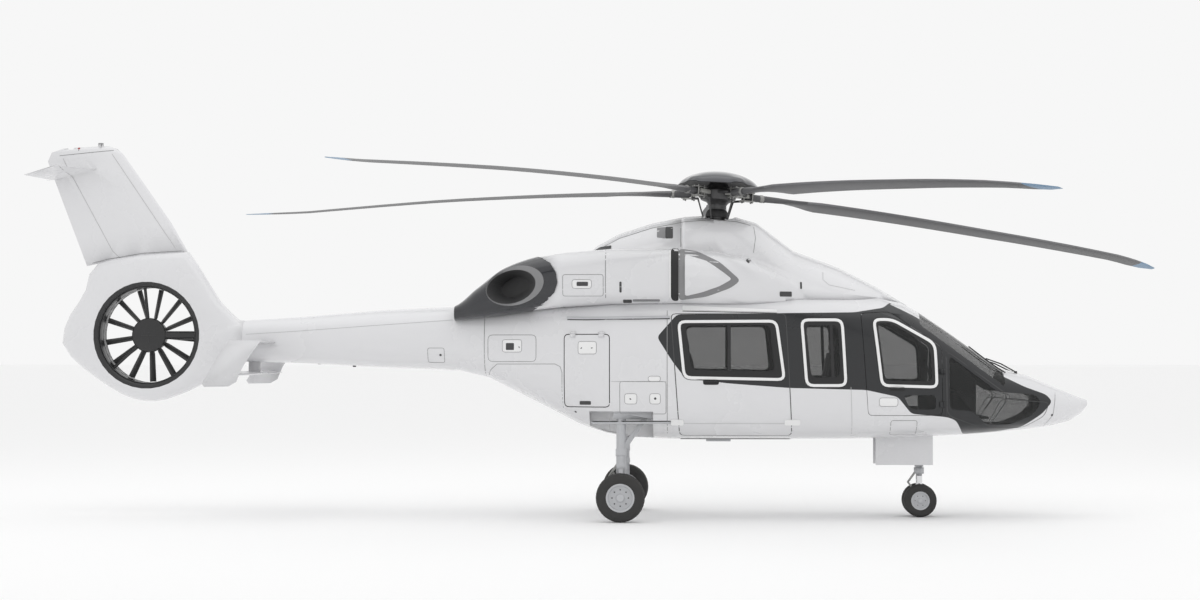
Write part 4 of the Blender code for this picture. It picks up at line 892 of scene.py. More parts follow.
# Seams, panels and small fittings of the fuselage side, each an outline in the side view
seamSets = (
    ("slidingSeam", "hull", "gapDark", 0.011, True, "airframe", roundOutline(outlines["slidingDoor"], 0.06)),
    ("boomSeam", "hull", "seamGrey", 0.008, False, "airframe", ((-3.03, 1.60), (-3.03, 0.86))),
    ("cabinSeam", "hull", "seamGrey", 0.008, False, "airframe", ((-0.66, 1.70), (-0.66, 0.13))),
    ("frontLine", "hull", "fineSeam", 0.006, False, "airframe", ((1.666, 0.726), (1.689, 0.093))),
    ("lowLine", "hull", "fineSeam", 0.006, False, "airframe", ((-0.447, 0.26), (0.835, 0.26))),
    ("frameLine", "hull", "fineSeam", 0.006, False, "airframe", ((-1.40, 0.365), (-1.40, 0.14))),
    ("waistLine", "hull", "fineSeam", 0.006, False, "airframe", ((-1.376, 0.793), (-0.67, 0.793))),
    ("accessA", "hull", "seamGrey", 0.007, True, "airframe",
     roundOutline(((-2.981, 1.388), (-2.346, 1.388), (-2.346, 1.045), (-2.981, 1.045)), 0.06)),
    ("rearLower", "hull", "seamGrey", 0.007, False, "airframe",
     ((-2.986, 0.87), (-2.957, 0.935), (-2.863, 1.013), (-2.098, 1.015), (-2.03, 0.98), (-2.007, 0.90),
      (-2.009, 0.682), (-1.998, 0.42))),
    ("accessR", "hull", "seamGrey", 0.007, True, "airframe",
     roundOutline(((-1.264, 0.793), (-0.675, 0.793), (-0.675, 0.381), (-1.264, 0.381)), 0.03)),
    ("boomSquare", "hull", "seamGrey", 0.006, True, "airframe",
     roundOutline(((-3.783, 1.22), (-3.563, 1.22), (-3.563, 1.031), (-3.783, 1.031)), 0.03)),
    # A fineSeam line along the boom's crease: painted shade of the crease
    ("boomCreaseShade", "hull", "fineSeam", 0.006, False, "airframe",
     ((-6.20, 1.40), (-5.477, 1.443), (-4.40, 1.52), (-3.451, 1.584))),
    ("squarePanel", "hull", "seamGrey", 0.007, True, "airframe",
     roundOutline(((2.177, 0.299), (2.512, 0.299), (2.512, 0.11), (2.177, 0.11)), 0.03)),
    ("radomeSeam", "nose", "seamGrey", 0.008, False, "airframe", ((4.345, 0.640), (4.30, 0.36), (4.20, 0.215))),
    ("nosePanel", "hull", "gapDark", 0.006, False, "airframe",
     ((2.877, 1.19), (3.717, 0.606), (3.417, 0.19), (2.889, 0.36), (2.877, 1.15))),
    ("cowlSeam", "deck", "seamGrey", 0.009, False, "airframe", ((-1.446, 2.50), (-1.446, 1.86))),
    ("cowlPanel", "deck", "seamGrey", 0.007, True, "airframe",
     roundOutline(((-1.993, 2.156), (-1.475, 2.156), (-1.475, 1.883), (-1.993, 1.883)), 0.03)),
    ("mastSeam", "deck", "seamGrey", 0.008, False, "airframe", ((-0.488, 2.81), (-0.488, 2.53))),
    ("mastSeamFront", "deck", "seamGrey", 0.007, False, "airframe", ((0.462, 2.80), (0.482, 2.649), (0.452, 2.45))),
    ("roofPanel", "deck", "fineSeam", 0.007, False, "airframe",
     ((1.346, 2.20), (1.341, 2.10), (1.416, 2.03), (1.75, 1.96))),
    ("finLineRear", "tail", "fineSeam", 0.008, False, "airframe",
     ((-8.70, 3.74), (-8.66, 3.659), (-8.019, 2.50), (-7.927, 2.42))),
    ("finLineFront", "tail", "fineSeam", 0.007, False, "airframe", ((-8.04, 3.80), (-7.178, 2.54))),
    ("finCap", "tail", "seamGrey", 0.008, False, "airframe", ((-8.75, 3.778), (-8.02, 3.845))),
    # A seamGrey line where the fin meets the boom: painted shade along that crease
    ("finRoot", "tail", "seamGrey", 0.008, False, "airframe",
     ((-8.30, 2.345), (-8.10, 2.395), (-7.62, 2.472), (-7.10, 2.505))),
)


def buildSeams():
    for title, word, side in sides:
        for name, tree, material, width, closed, body, points in seamSets:
            ribbon(f"{name}{title}", tree, side, points, material, body, width, 0.0014, closed)


buildSeams()
print("seams drawn")

# Raised plates: name, tree, material, lift, body, outline
plateSets = (
    ("plateA", "hull", "frameWhite", 0.003, "airframe", ((-2.785, 1.323), (-2.539, 1.172))),
    ("recessA", "hull", "gapDark", 0.004, "airframe", ((-2.742, 1.284), (-2.635, 1.194))),
    ("baggagePlate", "hull", "frameWhite", 0.003, "baggageDoor", ((-1.794, 1.299), (-1.568, 1.147))),
    ("baggageSlot", "hull", "gapDark", 0.003, "baggageDoor", ((-1.781, 0.542), (-1.635, 0.495))),
    ("fillPlateRear", "hull", "frameWhite", 0.003, "airframe", ((-1.197, 0.634), (-1.050, 0.512))),
    ("fillPlateFront", "hull", "frameWhite", 0.003, "airframe", ((-0.878, 0.635), (-0.751, 0.513))),
    ("capsule", "hull", "frameWhite", 0.006, "airframe", ((-0.896, 0.857), (-0.751, 0.80))),
    ("lowRecess", "hull", "gapDark", 0.003, "airframe", ((-1.308, 0.243), (-1.255, 0.173))),
    ("cowlPlate", "deck", "frameWhite", 0.003, "airframe", ((-1.869, 2.087), (-1.630, 1.984))),
    ("cowlSlot", "deck", "gapDark", 0.005, "airframe", ((-1.814, 2.064), (-1.669, 2.010))),
    ("cowlNotch", "deck", "gapDark", 0.003, "airframe", ((-1.268, 2.064), (-1.240, 1.927))),
    ("roofVent", "deck", "gapDark", 0.003, "airframe", ((0.777, 1.942), (0.933, 1.877))),
    ("roofSlit", "deck", "gapDark", 0.003, "airframe", ((1.044, 2.068), (1.068, 1.977))),
    ("pilotRecess", "hull", "frameWhite", 0.003, "pilotDoor", ((2.029, 0.583), (2.255, 0.485))),
)
dotSets = (
    ("dotA", "hull", "airframe", -2.57, 1.226), ("dotB", "hull", "baggageDoor", -1.761, 1.223),
    ("dotC", "hull", "baggageDoor", -1.622, 1.226), ("dotD", "hull", "airframe", -1.124, 0.576),
    ("dotE", "hull", "airframe", -0.812, 0.577), ("dotF", "hull", "airframe", -3.614, 1.129),
    ("dotG", "nose", "airframe", 4.289, 0.357), ("dotH", "hull", "airframe", -1.839, 0.40),
)
dotShape = {"radius": 0.016, "high": 0.003}
handleSets = (
    ("slidingHandle", "airframe", (-0.205, 0.838), (-0.003, 0.752)),
    ("pilotHandle", "pilotDoor", (2.147, 0.746), (2.356, 0.676)),
)


def rectangle(a, b, radius=0.02):
    return roundOutline(((a[0], a[1]), (b[0], a[1]), (b[0], b[1]), (a[0], b[1])), radius)


def buildPlates():
    for title, word, side in sides:
        for name, tree, material, lift, kind, corners in plateSets:
            body = bodyOf(kind, word)
            outline = rectangle(*corners, 0.012 if material == "gapDark" else 0.03)
            patch(f"{name}{title}", tree, side, outline, material, body, lift)
            if material == "frameWhite":
                ribbon(f"{name}Line{title}", tree, side, growOutline(outline, 0.005), "seamGrey", body, 0.005,
                       0.0014, True)
        for name, tree, kind, x, z in dotSets:
            hit = onSkin(tree, side, x, z)
            radius, high = dotShape["radius"], dotShape["high"]
            profile = ((radius, -high), (radius, high * 0.6), (radius * 0.8, high), (0, high))
            lathe(f"{name}{title}", profile, turnTo(hit[1], hit[0]), "gapDark", bodyOf(kind, word), 20)
        for name, kind, start, end in handleSets:
            body = bodyOf(kind, word)
            outline = rectangle(start, end, 0.03)
            patch(f"{name}Well{title}", "hull", side, outline, "gasket", body, 0.002)
            grip = []
            for k in range(9):
                t = k / 8
                x = start[0] + 0.02 + (end[0] - start[0] - 0.04) * t
                spot, normal = onSkin("hull", side, x, (start[1] + end[1]) / 2)
                grip.append(spot + normal * (0.004 + 0.022 * math.sin(math.pi * t) ** 0.5))
            tube(f"{name}Grip{title}", grip, 0.010, "blackPlastic", body, 10)


buildPlates()
print("plates and handles fitted")

# Rails of the sliding doors, their brackets and the cover strip over the door, with painted shadows under the rails and
# the strip
railSets = {
    "upper": {"line": ((-1.940, 1.596), (-1.70, 1.592), (-0.625, 1.606)), "radius": 0.017, "high": 0.020},
    "lower": {"line": ((-1.62, 0.270), (-0.615, 0.276)), "radius": 0.014, "high": 0.016},
}
bracketSets = (
    ("rearBracket", (-0.612, 0.312), (-0.453, 0.246), 0.022),
    ("frontBracket", (0.829, 0.312), (1.026, 0.248), 0.022),
)


def buildRails():
    for title, word, side in sides:
        for name, settings in railSets.items():
            spots = []
            for x, z in divided([list(settings["line"])], 0.06, False)[0]:
                spot, normal = onSkin("hull", side, x, z)
                spots.append(spot + normal * settings["high"])
            tube(f"{name}Rail{title}", spots, settings["radius"], "gearPaint")
            ribbon(f"{name}RailShade{title}", "hull", side, settings["line"], "gapDark", width=0.042)
        for name, start, end, high in bracketSets:
            patch(f"{name}{title}", "hull", side, rectangle(start, end, 0.02), "frameWhite", lift=high, sink=0.002)
        track = roundOutline(((-0.465, 1.752), (0.737, 1.700), (0.737, 1.672), (-0.465, 1.700)), 0.012)
        patch(f"doorTrack{title}", "hull", side, track, "frameWhite", lift=0.014, sink=0.002)
        # A dark ribbon just under the cover strip: painted shadow of the strip
        ribbon(f"doorTrackShadow{title}", "hull", side, ((-0.465, 1.690), (0.737, 1.662)), "gapDark", width=0.012)


buildRails()
print("rails laid")


# Air intake in the cowling's flank: surround, slot, splitter and its ridge
intake = {
    "surround": ((-0.516, 2.492), (-0.290, 2.462), (0.012, 2.312), (0.275, 2.080), (0.150, 1.984), (-0.153, 1.875),
                 (-0.516, 1.828)),
    "splitter": ((-0.435, 2.410), (-0.153, 2.325), (0.060, 2.178), (0.165, 2.095), (0.000, 2.003),
                 (-0.236, 1.924), (-0.435, 1.882)),
    "slot": ((-0.612, 2.470), (-0.580, 2.500), (-0.516, 2.500), (-0.516, 1.825), (-0.580, 1.825), (-0.612, 1.860)),
    "ridge": ((-0.425, 2.135), (0.185, 2.075)), "height": 0.085, "nose": 0.17, "tail": -0.425,
}


# How far the splitter stands out: most along its ridge, nothing at its edges
def splitterRise(x, z):
    along = min(max((intake["nose"] - x) / (intake["nose"] - intake["tail"]), 0.0), 1.0)
    ridgeZ = 2.090 + 0.040 * along
    half = 0.28 * along ** 0.75 + 0.012
    return intake["height"] * along ** 0.6 * max(0.0, 1 - abs(z - ridgeZ) / half)


def buildIntakes():
    for title, word, side in sides:
        # The grey surround is painted shade of the recess round the splitter, and the dark slot is painted shade in the
        # intake's opening
        patch(f"intakeSurroundShade{title}", "deck", side, roundOutline(intake["surround"], 0.06), "scoopGrey",
              lift=0.004)
        patch(f"intakeSlot{title}", "deck", side, roundOutline(intake["slot"], 0.03), "gasket", lift=0.006)
        patch(f"intakeSplitter{title}", "deck", side, roundOutline(intake["splitter"], 0.04), "whitePaint",
              lift=0.007, cell=0.03, rise=splitterRise)
        ribbon(f"intakeLip{title}", "deck", side, ((-0.622, 2.46), (-0.622, 1.87)), "frameWhite", width=0.016,
               lift=0.010)
        ribbon(f"intakeBand{title}", "deck", side, ((-0.468, 2.47), (-0.468, 1.85)), "seamGrey", width=0.060,
               lift=0.009)


# Openings and edges of the mast fairing and the cowling; the edge line under the mast fairing's rim is a painted shadow
mastSets = (
    # mastVent is a flat dark patch of painted shade for the vent's opening, and the grey ramp before it is painted
    # shade on its slope
    ("mastVent", "gapDark", ((-0.690, 2.800), (-0.590, 2.800), (-0.590, 2.645), (-0.690, 2.645)), 0.004),
    ("mastRampShade", "scoopGrey", ((-0.800, 2.790), (-0.692, 2.800), (-0.692, 2.645), (-0.800, 2.660)), 0.003),
    ("rearWedge", "gapDark", ((-1.660, 2.480), (-1.540, 2.540), (-1.395, 2.560), (-1.400, 2.495)), 0.004),
    ("sillSlot", "gapDark", ((-1.225, 1.838), (-1.112, 1.838), (-1.112, 1.800), (-1.225, 1.800)), 0.004),
    ("sillStrip", "scoopGrey", ((-1.100, 1.842), (-0.753, 1.842), (-0.753, 1.815), (-1.100, 1.815)), 0.003),
    ("roofDiamond", "gapDark", ((0.379, 2.375), (0.415, 2.340), (0.379, 2.300), (0.343, 2.340)), 0.004),
)


def buildMastTrim():
    for title, word, side in sides:
        for name, material, outline, lift in mastSets:
            patch(f"{name}{title}", "deck", side, roundOutline(outline, 0.012), material, lift=lift)
        # A seamGrey ribbon below the mast fairing's top rim: painted shadow under the rim's overhang
        ribbon(f"mastRimShadow{title}", "deck", side,
               ((-1.50, 2.545), (-1.29, 2.655), (-0.86, 2.790), (-0.43, 2.872), (-0.05, 2.897), (0.25, 2.868),
                (0.42, 2.82)), "seamGrey", width=0.014)


# Exhaust fairings: a smooth shell, its front edge and the pipe's oval mouth cut into it
exhaust = {
    "rings": ((-3.42, 1.58, 1.76, 0.44, 0.17), (-3.15, 1.60, 1.97, 0.49, 0.27), (-2.80, 1.64, 2.23, 0.53, 0.34),
              (-2.40, 1.70, 2.38, 0.55, 0.38), (-2.00, 1.74, 2.45, 0.56, 0.40), (-1.60, 1.76, 2.49, 0.57, 0.415)),
    "power": 2.5, "points": 56, "step": 0.05, "lift": 0.006,
    "outline": ((-3.60, 1.40), (-3.02, 1.585), (-2.72, 1.62), (-2.46, 1.665), (-2.24, 1.78), (-2.10, 1.93),
                (-2.060, 2.06), (-2.085, 2.19), (-2.16, 2.31), (-2.29, 2.385), (-2.46, 2.44), (-2.60, 2.62),
                (-3.60, 2.62)),
    "mouth": ((-2.615, 2.020), 0.385, 0.250, 14.0), "inner": ((-2.665, 2.005), 0.325, 0.212),
    "rows": ((0.92, 0.030), (0.85, 0.120), (0.55, 0.330)),
}


def exhaustRing(x):
    rows = exhaust["rings"]
    for i in range(len(rows) - 1):
        if x <= rows[i + 1][0] or i == len(rows) - 2:
            t = (x - rows[i][0]) / (rows[i + 1][0] - rows[i][0])
            before, after = rows[max(i - 1, 0)], rows[min(i + 2, len(rows) - 1)]
            return [
                0.5 * (2 * b + (c - a) * t + (2 * a - 5 * b + 4 * c - d) * t * t + (3 * b - 3 * c + d - a) * t ** 3)
                for a, b, c, d in zip(before[1:], rows[i][1:], rows[i + 1][1:], after[1:])
            ]


def oval(centre, wide, high, tilt, count=48):
    turn, result = math.radians(tilt), []
    for k in range(count):
        a = 2 * math.pi * k / count
        u, v = wide * math.cos(a), high * math.sin(a)
        result.append((centre[0] + u * math.cos(turn) - v * math.sin(turn),
                       centre[1] + u * math.sin(turn) + v * math.cos(turn)))
    return result


def buildExhaust(title, word, side):
    bm = bmesh.new()
    start, end = exhaust["rings"][0][0], exhaust["rings"][-1][0]
    steps = round((end - start) / exhaust["step"])
    row = None
    for k in range(steps + 1):
        x = start + (end - start) * k / steps
        bottom, top, middle, wide = exhaustRing(x)
        spots = []
        for i in range(exhaust["points"]):
            a = 2 * math.pi * i / exhaust["points"]
            c, s = math.cos(a), math.sin(a)
            power = 2 / exhaust["power"]
            spots.append(Vector((
                x, side * (middle + (wide + exhaust["lift"]) * math.copysign(abs(c) ** power, c)),
                (bottom + top) / 2 + ((top - bottom) / 2 + exhaust["lift"]) * math.copysign(abs(s) ** power, s),
            )))
        if row is None:
            row, edges = startRow(bm, spots)
            first = list(edges)
        else:
            row, edges = growRow(bm, row, edges, spots)
    bmesh.ops.holes_fill(bm, edges=first)
    paintRegion(bm, exhaust["outline"], 1)
    bmesh.ops.delete(bm, geom=[face for face in bm.faces if face.material_index != 1], context="FACES")
    centre, wide, high, tilt = exhaust["mouth"]
    paintRegion(bm, oval(centre, wide, high, tilt), 2)
    gone = [f for f in bm.faces if f.material_index == 2 and f.calc_center_median().y * side > 0.60]
    rim = {edge for face in gone for edge in face.edges if any(other not in gone for other in edge.link_faces)}
    for face in bm.faces:
        face.material_index = 0
    bmesh.ops.delete(bm, geom=gone, context="FACES")
    edges = [edge for edge in rim if edge.is_valid]
    turn = Matrix.Rotation(-math.radians(tilt), 4, "Y")
    innerCentre, innerWide, innerHigh = exhaust["inner"]
    here, size = Vector((centre[0], 0, centre[1])), (wide, high)
    depth = 0.0
    for number, (scale, deep) in enumerate(exhaust["rows"]):
        made = bmesh.ops.extrude_edge_only(bm, edges=edges)["geom"]
        verts = {item for item in made if isinstance(item, bmesh.types.BMVert)}
        for face in (item for item in made if isinstance(item, bmesh.types.BMFace)):
            face.material_index = 1 if number == 0 else 2
        edges = [item for item in made if isinstance(item, bmesh.types.BMEdge)
                 and all(v in verts for v in item.verts)]
        there = Vector((innerCentre[0] + 0.10 * deep, -side * (deep - depth), innerCentre[1]))
        goal = (innerWide * scale / 0.92, innerHigh * scale / 0.92)
        step = (
            Matrix.Translation(there) @ turn @ Matrix.Diagonal((goal[0] / size[0], 1, goal[1] / size[1], 1))
            @ turn.inverted() @ Matrix.Translation(-here)
        )
        bmesh.ops.transform(bm, matrix=step, verts=list(verts))
        here, size, depth = Vector((there.x, 0, there.z)), goal, deep
    for face in bmesh.ops.holes_fill(bm, edges=edges)["faces"]:
        face.material_index = 2
    bmesh.ops.recalc_face_normals(bm, faces=bm.faces)
    turnOut(bm, side)
    shell = addPiece(f"exhaustShell{title}", bm, ["exhaustBlack", "scoopGrey", "gapDark"], angle=50, recalc=False)
    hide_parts(f"exhaust_{word}")


buildIntakes()
buildMastTrim()
for title, word, side in sides:
    buildExhaust(title, word, side)
print("cowling details built")

# Tail fan: pod face, blades, spinner, struts and duct rings
fan = {
    "centre": Vector((-7.53, 0.0, 1.39)), "duct": 0.63, "pod": 0.223, "plane": 0.105, "count": 13,
    "firstAngle": -5.0, "tip": 0.617, "chord": 0.088, "rootPitch": 50.0, "tipPitch": 30.0,
}


def buildFan():
    centre = fan["centre"]
    podWay = turnTo((0, -1, 0), centre)
    pod = lathe("fanPodShell", (
        (0, 0.094), (fan["pod"] * 0.5, 0.090), (fan["pod"] * 0.85, 0.080), (fan["pod"] * 0.97, 0.068),
        (fan["pod"], 0.050), (fan["pod"], -0.028), (fan["pod"] * 0.9, -0.032), (0, -0.032),
    ), podWay, "ductBlack", segments=64)
    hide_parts("fan_pod")
    lathe("fanPodRim", (
        (fan["pod"] + 0.001, 0.030), (fan["pod"] + 0.006, 0.034), (fan["pod"] + 0.006, 0.050),
        (fan["pod"] + 0.001, 0.054),
    ), podWay, "fanGrey", segments=64, shut=True)
    for number, angle in enumerate((0, 90), 1):
        a = math.radians(angle)
        out = Vector((math.cos(a), 0, math.sin(a)))
        line = [centre + out * r + Vector((0, -0.0915 if r else -0.0955, 0)) for r in (-0.10, 0.0, 0.10)]
        tube(f"fanPodSeam{number}", line, 0.002, "gapDark", sides=6)
    bm = bmesh.new()
    for angle, radius in ((0, 0.055), (96, 0.020), (222, 0.020)):
        a = math.radians(angle)
        out = Vector((math.cos(a), 0, math.sin(a)))
        at = centre + Vector((0, -0.010, 0))
        addTube(bm, [at + out * 0.20, at + out * 0.60, at + out * 0.628], [radius, radius, radius * 1.25], 16)
    addPiece("fanStruts", bm, "ductBlack")
    for number, (y, radius) in enumerate(((-0.150, 0.634), (0.030, 0.632), (0.180, 0.634)), 1):
        place = turnTo((0, -1, 0), centre + Vector((0, y, 0)))
        lathe(f"ductRing{number}", (
            (radius, -0.006), (radius - 0.006, -0.004), (radius - 0.006, 0.004), (radius, 0.006),
        ), place, "fanGrey", segments=72, shut=True)
    hub = lathe("fanHub", (
        (0, 0.088), (0.10, 0.086), (0.18, 0.070), (0.210, 0.040), (0.213, -0.060), (0.19, -0.064), (0, -0.064),
    ), turnTo((0, 1, 0), centre + Vector((0, fan["plane"], 0))), "fanGrey", "tail_fan", 56)
    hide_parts("fan_rotor")
    bm = bmesh.new()
    for k in range(fan["count"]):
        a = math.radians(fan["firstAngle"] + 360 * k / fan["count"])
        out = Vector((math.cos(a), 0, math.sin(a)))
        round_ = Vector((-math.sin(a), 0, math.cos(a)))
        rows = []
        for t in (0.0, 0.12, 0.3, 0.5, 0.7, 0.88, 1.0):
            r = 0.19 + (fan["tip"] - 0.19) * t
            pitch = math.radians(fan["rootPitch"] + (fan["tipPitch"] - fan["rootPitch"]) * t)
            chord = fan["chord"] * (0.62 + 0.38 * min(1.0, t / 0.12))
            row = []
            for u, w in ((-0.5, 0.0), (-0.42, 0.075), (-0.15, 0.10), (0.25, 0.07), (0.5, 0.0), (0.25, -0.05),
                         (-0.15, -0.07), (-0.42, -0.05)):
                along, thick = chord * u, chord * w * 1.6
                row.append(
                    centre + out * r + round_ * (along * math.cos(pitch) - thick * math.sin(pitch))
                    + Vector((0, fan["plane"] + along * math.sin(pitch) + thick * math.cos(pitch), 0))
                )
            rows.append(row)
        row, edges = startRow(bm, rows[0])
        for spots in rows[1:]:
            row, edges = growRow(bm, row, edges, spots)
        bmesh.ops.holes_fill(bm, edges=edges)
    addPiece("fanBlades", bm, "fanGrey", "tail_fan", 50)


buildFan()
print("tail fan built")

# Main rotor, in the frame of its tilted hub
rotor = {
    "hub": Vector((0.0, 0.0, 3.233)), "lean": (3.1, 3.0), "radius": 6.70, "root": 0.62, "droop": 0.42,
    "azimuths": (20.3, 88.3, 164.8, 227.7, 300.3), "firstArm": 16.3, "tipStart": 6.36, "pitch": 17.0,
    "stations": ((0.62, 0.12, 0.045), (0.80, 0.14, 0.040), (1.05, 0.24, 0.030), (1.45, 0.34, 0.024),
                 (2.6, 0.34, 0.021), (3.9, 0.34, 0.019), (5.2, 0.33, 0.017), (5.9, 0.31, 0.015),
                 (6.25, 0.30, 0.013), (6.36, 0.275, 0.0115), (6.50, 0.24, 0.010), (6.70, 0.09, 0.005)),
    "profile": ((0.0, 0.0), (0.015, 0.32), (0.06, 0.62), (0.14, 0.85), (0.25, 1.0), (0.42, 0.92), (0.60, 0.70),
                (0.80, 0.36), (1.0, 0.05)),
}


def rotorFrame():
    forward, sideways = (math.tan(math.radians(a)) for a in rotor["lean"])
    normal = Vector((forward, sideways, 1)).normalized()
    return Matrix.Translation(rotor["hub"]) @ Vector((0, 0, 1)).rotation_difference(normal).to_matrix().to_4x4()


hubFrame = rotorFrame()


def hubSpot(azimuth, r, z):
    a = math.radians(azimuth)
    return hubFrame @ Vector((r * math.cos(a), r * math.sin(a), z))


def sweepAt(r):
    if r < 3.9:
        return 0.0
    if r < 5.9:
        return 0.10 * math.sin(math.pi * (r - 3.9) / 4.0)
    return 0.10 - 0.30 * ((r - 5.9) / (rotor["radius"] - 5.9)) ** 1.3


def stationAt(r):
    rows = rotor["stations"]
    for a, b in zip(rows, rows[1:]):
        if r <= b[0]:
            t = (r - a[0]) / (b[0] - a[0])
            t = t * t * (3 - 2 * t) if a[0] < 1.45 else t
            return a[1] + (b[1] - a[1]) * t, a[2] + (b[2] - a[2]) * t
    return rows[-1][1], rows[-1][2]


def buildBlade(index):
    a = math.radians(rotor["azimuths"][index])
    out = Vector((math.cos(a), math.sin(a), 0))
    leading = Vector((math.sin(a), -math.cos(a), 0))
    radii = [0.62 + 0.105 * k for k in range(9)] + [1.6 + 0.4 * k for k in range(11)]
    radii += [5.9, 6.1, 6.25, 6.36, 6.43, 6.50, 6.57, 6.64, 6.70]
    bm = bmesh.new()
    row = None
    half = len(rotor["profile"])
    for r in radii:
        chord, thick = stationAt(r)
        drop = -rotor["droop"] * ((r - rotor["root"]) / (rotor["radius"] - rotor["root"])) ** 1.6
        rise = min(1.0, max(0.0, (r - 0.8) / 0.65))
        twist = math.radians((rotor["pitch"] - 9 * r / rotor["radius"]) * rise)
        spots = []
        for t, w in rotor["profile"] + tuple(reversed(rotor["profile"][1:])):
            up = thick * w * (1 if len(spots) < half else -1)
            along = chord * (0.28 - t)
            spots.append(hubFrame @ (
                out * r + leading * (sweepAt(r) + along * math.cos(twist) - up * math.sin(twist))
                + Vector((0, 0, drop + along * math.sin(twist) + up * math.cos(twist)))
            ))
        if row is None:
            row, edges = startRow(bm, spots)
            first = list(edges)
        else:
            row, edges = growRow(bm, row, edges, spots)
    bmesh.ops.holes_fill(bm, edges=first + edges)
    back = hubFrame.inverted()
    for face in bm.faces:
        spot = back @ face.calc_center_median()
        r = spot.dot(out)
        ahead = spot.dot(leading) - sweepAt(r)
        chord = stationAt(min(max(r, 0.62), 6.7))[0]
        if r > rotor["tipStart"]:
            face.material_index = 2
        elif ahead > chord * 0.20 and r > 1.2:
            face.material_index = 1
    blade = addPiece(f"rotorBlade{index + 1}Skin", bm, ["bladeComposite", "bladeEdge", "tipBlue"], "main_rotor", 40)
    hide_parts(f"rotor_blade_{index + 1}")


def buildCap():
    bm = bmesh.new()
    addLathe(bm, (
        (0, 0.303), (0.06, 0.302), (0.12, 0.298), (0.21, 0.284), (0.30, 0.262), (0.38, 0.232), (0.44, 0.200),
        (0.485, 0.166), (0.515, 0.134), (0.530, 0.108), (0.520, 0.100), (0.500, 0.122), (0.43, 0.182),
        (0.30, 0.232), (0.16, 0.255), (0, 0.262),
    ), Matrix(), 90)
    for v in bm.verts:
        r = math.hypot(v.co.x, v.co.y)
        if r > 0.43:
            at = math.degrees(math.atan2(v.co.y, v.co.x)) % 360
            for azimuth in rotor["azimuths"]:
                off = abs((at - azimuth + 180) % 360 - 180)
                v.co.z += 0.022 * max(0.0, 1 - (off / 13.0) ** 4) * min(1.0, (r - 0.43) / 0.06)
    bmesh.ops.recalc_face_normals(bm, faces=bm.faces)
    for face in bm.faces:
        if face.normal.z < -0.05:
            face.material_index = 1
    bmesh.ops.transform(bm, matrix=hubFrame, verts=bm.verts)
    cap = addPiece("rotorCapShell", bm, ["capGloss", "blackPlastic"], "main_rotor", 50)
    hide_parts("rotor_cap")
    lathe("capStem", ((0.16, 0.070), (0.15, 0.10), (0.10, 0.18), (0.10, 0.25), (0, 0.252)), hubFrame,
          "darkMetal", "main_rotor", 32)


def buildHub():
    mast = lathe("rotorMast", (
        (0.105, -0.80), (0.105, -0.20), (0.118, -0.18), (0.118, -0.14), (0.150, -0.10), (0.220, -0.075),
        (0.235, -0.05), (0.235, 0.045), (0.200, 0.065), (0, 0.068),
    ), hubFrame, "darkMetal", "main_rotor", 48)
    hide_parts("rotor_head")
    lathe("mastBoot", (
        (0.106, -0.30), (0.150, -0.30), (0.150, -0.27), (0.143, -0.235), (0.125, -0.205), (0.106, -0.195),
    ), hubFrame, "gasket", "main_rotor", 40, 40, True)
    star, plates, bolts, links = bmesh.new(), bmesh.new(), bmesh.new(), bmesh.new()
    for k in range(5):
        arm = rotor["firstArm"] + 72 * k
        turn = hubFrame @ Matrix.Rotation(math.radians(arm), 4, "Z")
        addBlock(star, turn @ Matrix.Translation((0.27, 0, 0.010)), (0.30, 0.105, 0.058), 0.012, 3)
        for z in (0.056, -0.052):
            addBlock(plates, turn @ Matrix.Translation((0.395, 0, z)), (0.20, 0.115, 0.014), 0.005)
        for x, y in ((0.345, 0.035), (0.345, -0.035), (0.465, 0.035), (0.465, -0.035)):
            addTube(bolts, [turn @ Vector((x, y, -0.078)), turn @ Vector((x, y, 0.076))], 0.011, 10)
        azimuth = rotor["azimuths"][k]
        horn = azimuth + 17
        addTube(links, [hubSpot(horn, 0.262, -0.055), hubSpot(horn, 0.245, -0.110), hubSpot(horn, 0.172, -0.33)],
                [0.013, 0.010, 0.010], 10)
        addTube(links, [hubSpot(azimuth, 0.36, -0.050), hubSpot(horn, 0.262, -0.062)], 0.016, 10)
        addTube(links, [hubSpot(arm - 36, 0.215, 0.02), hubSpot(arm - 12, 0.37, 0.015)], [0.020, 0.024], 12)
        tube(f"bladeSleeve{k + 1}", [
            hubSpot(azimuth, r, z) for r, z in ((0.36, 0.002), (0.40, 0.002), (0.47, 0.0), (0.60, 0.0), (0.66, -0.004))
        ], [0.030, 0.046, 0.050, 0.047, 0.046], "bladeComposite", "main_rotor", 20)
        tube(f"sleeveCollar{k + 1}", [hubSpot(azimuth, r, 0.0) for r in (0.585, 0.60, 0.625, 0.64)],
             [0.047, 0.053, 0.053, 0.047], "hubMetal", "main_rotor", 20)
        buildBlade(k)
    addPiece("hubStar", star, "hubComposite", "main_rotor")
    addPiece("hubPlates", plates, "hubMetal", "main_rotor")
    addPiece("hubBolts", bolts, "hubMetal", "main_rotor")
    addPiece("pitchLinks", links, "darkMetal", "main_rotor")
    buildCap()


buildHub()
print("main rotor built")


# Wheels: a grooved tyre, a two-sided rim and its bolts
wheels = {
    "mainWheelLeft": {"node": "main_wheel_left", "body": "main_wheel_left", "centres": ((-1.25, 1.20, -0.67),),
                      "radius": 0.31, "width": 0.20, "rim": 0.172, "hub": 0.060, "bolts": 8},
    "mainWheelRight": {"node": "main_wheel_right", "body": "main_wheel_right", "centres": ((-1.25, -1.20, -0.67),),
                       "radius": 0.31, "width": 0.20, "rim": 0.172, "hub": 0.060, "bolts": 8},
    "noseWheels": {"node": "nose_wheels", "body": "nose_wheel_pair",
                   "centres": ((2.62, 0.135, -0.765), (2.62, -0.135, -0.765)),
                   "radius": 0.215, "width": 0.135, "rim": 0.112, "hub": 0.036, "bolts": 6},
}


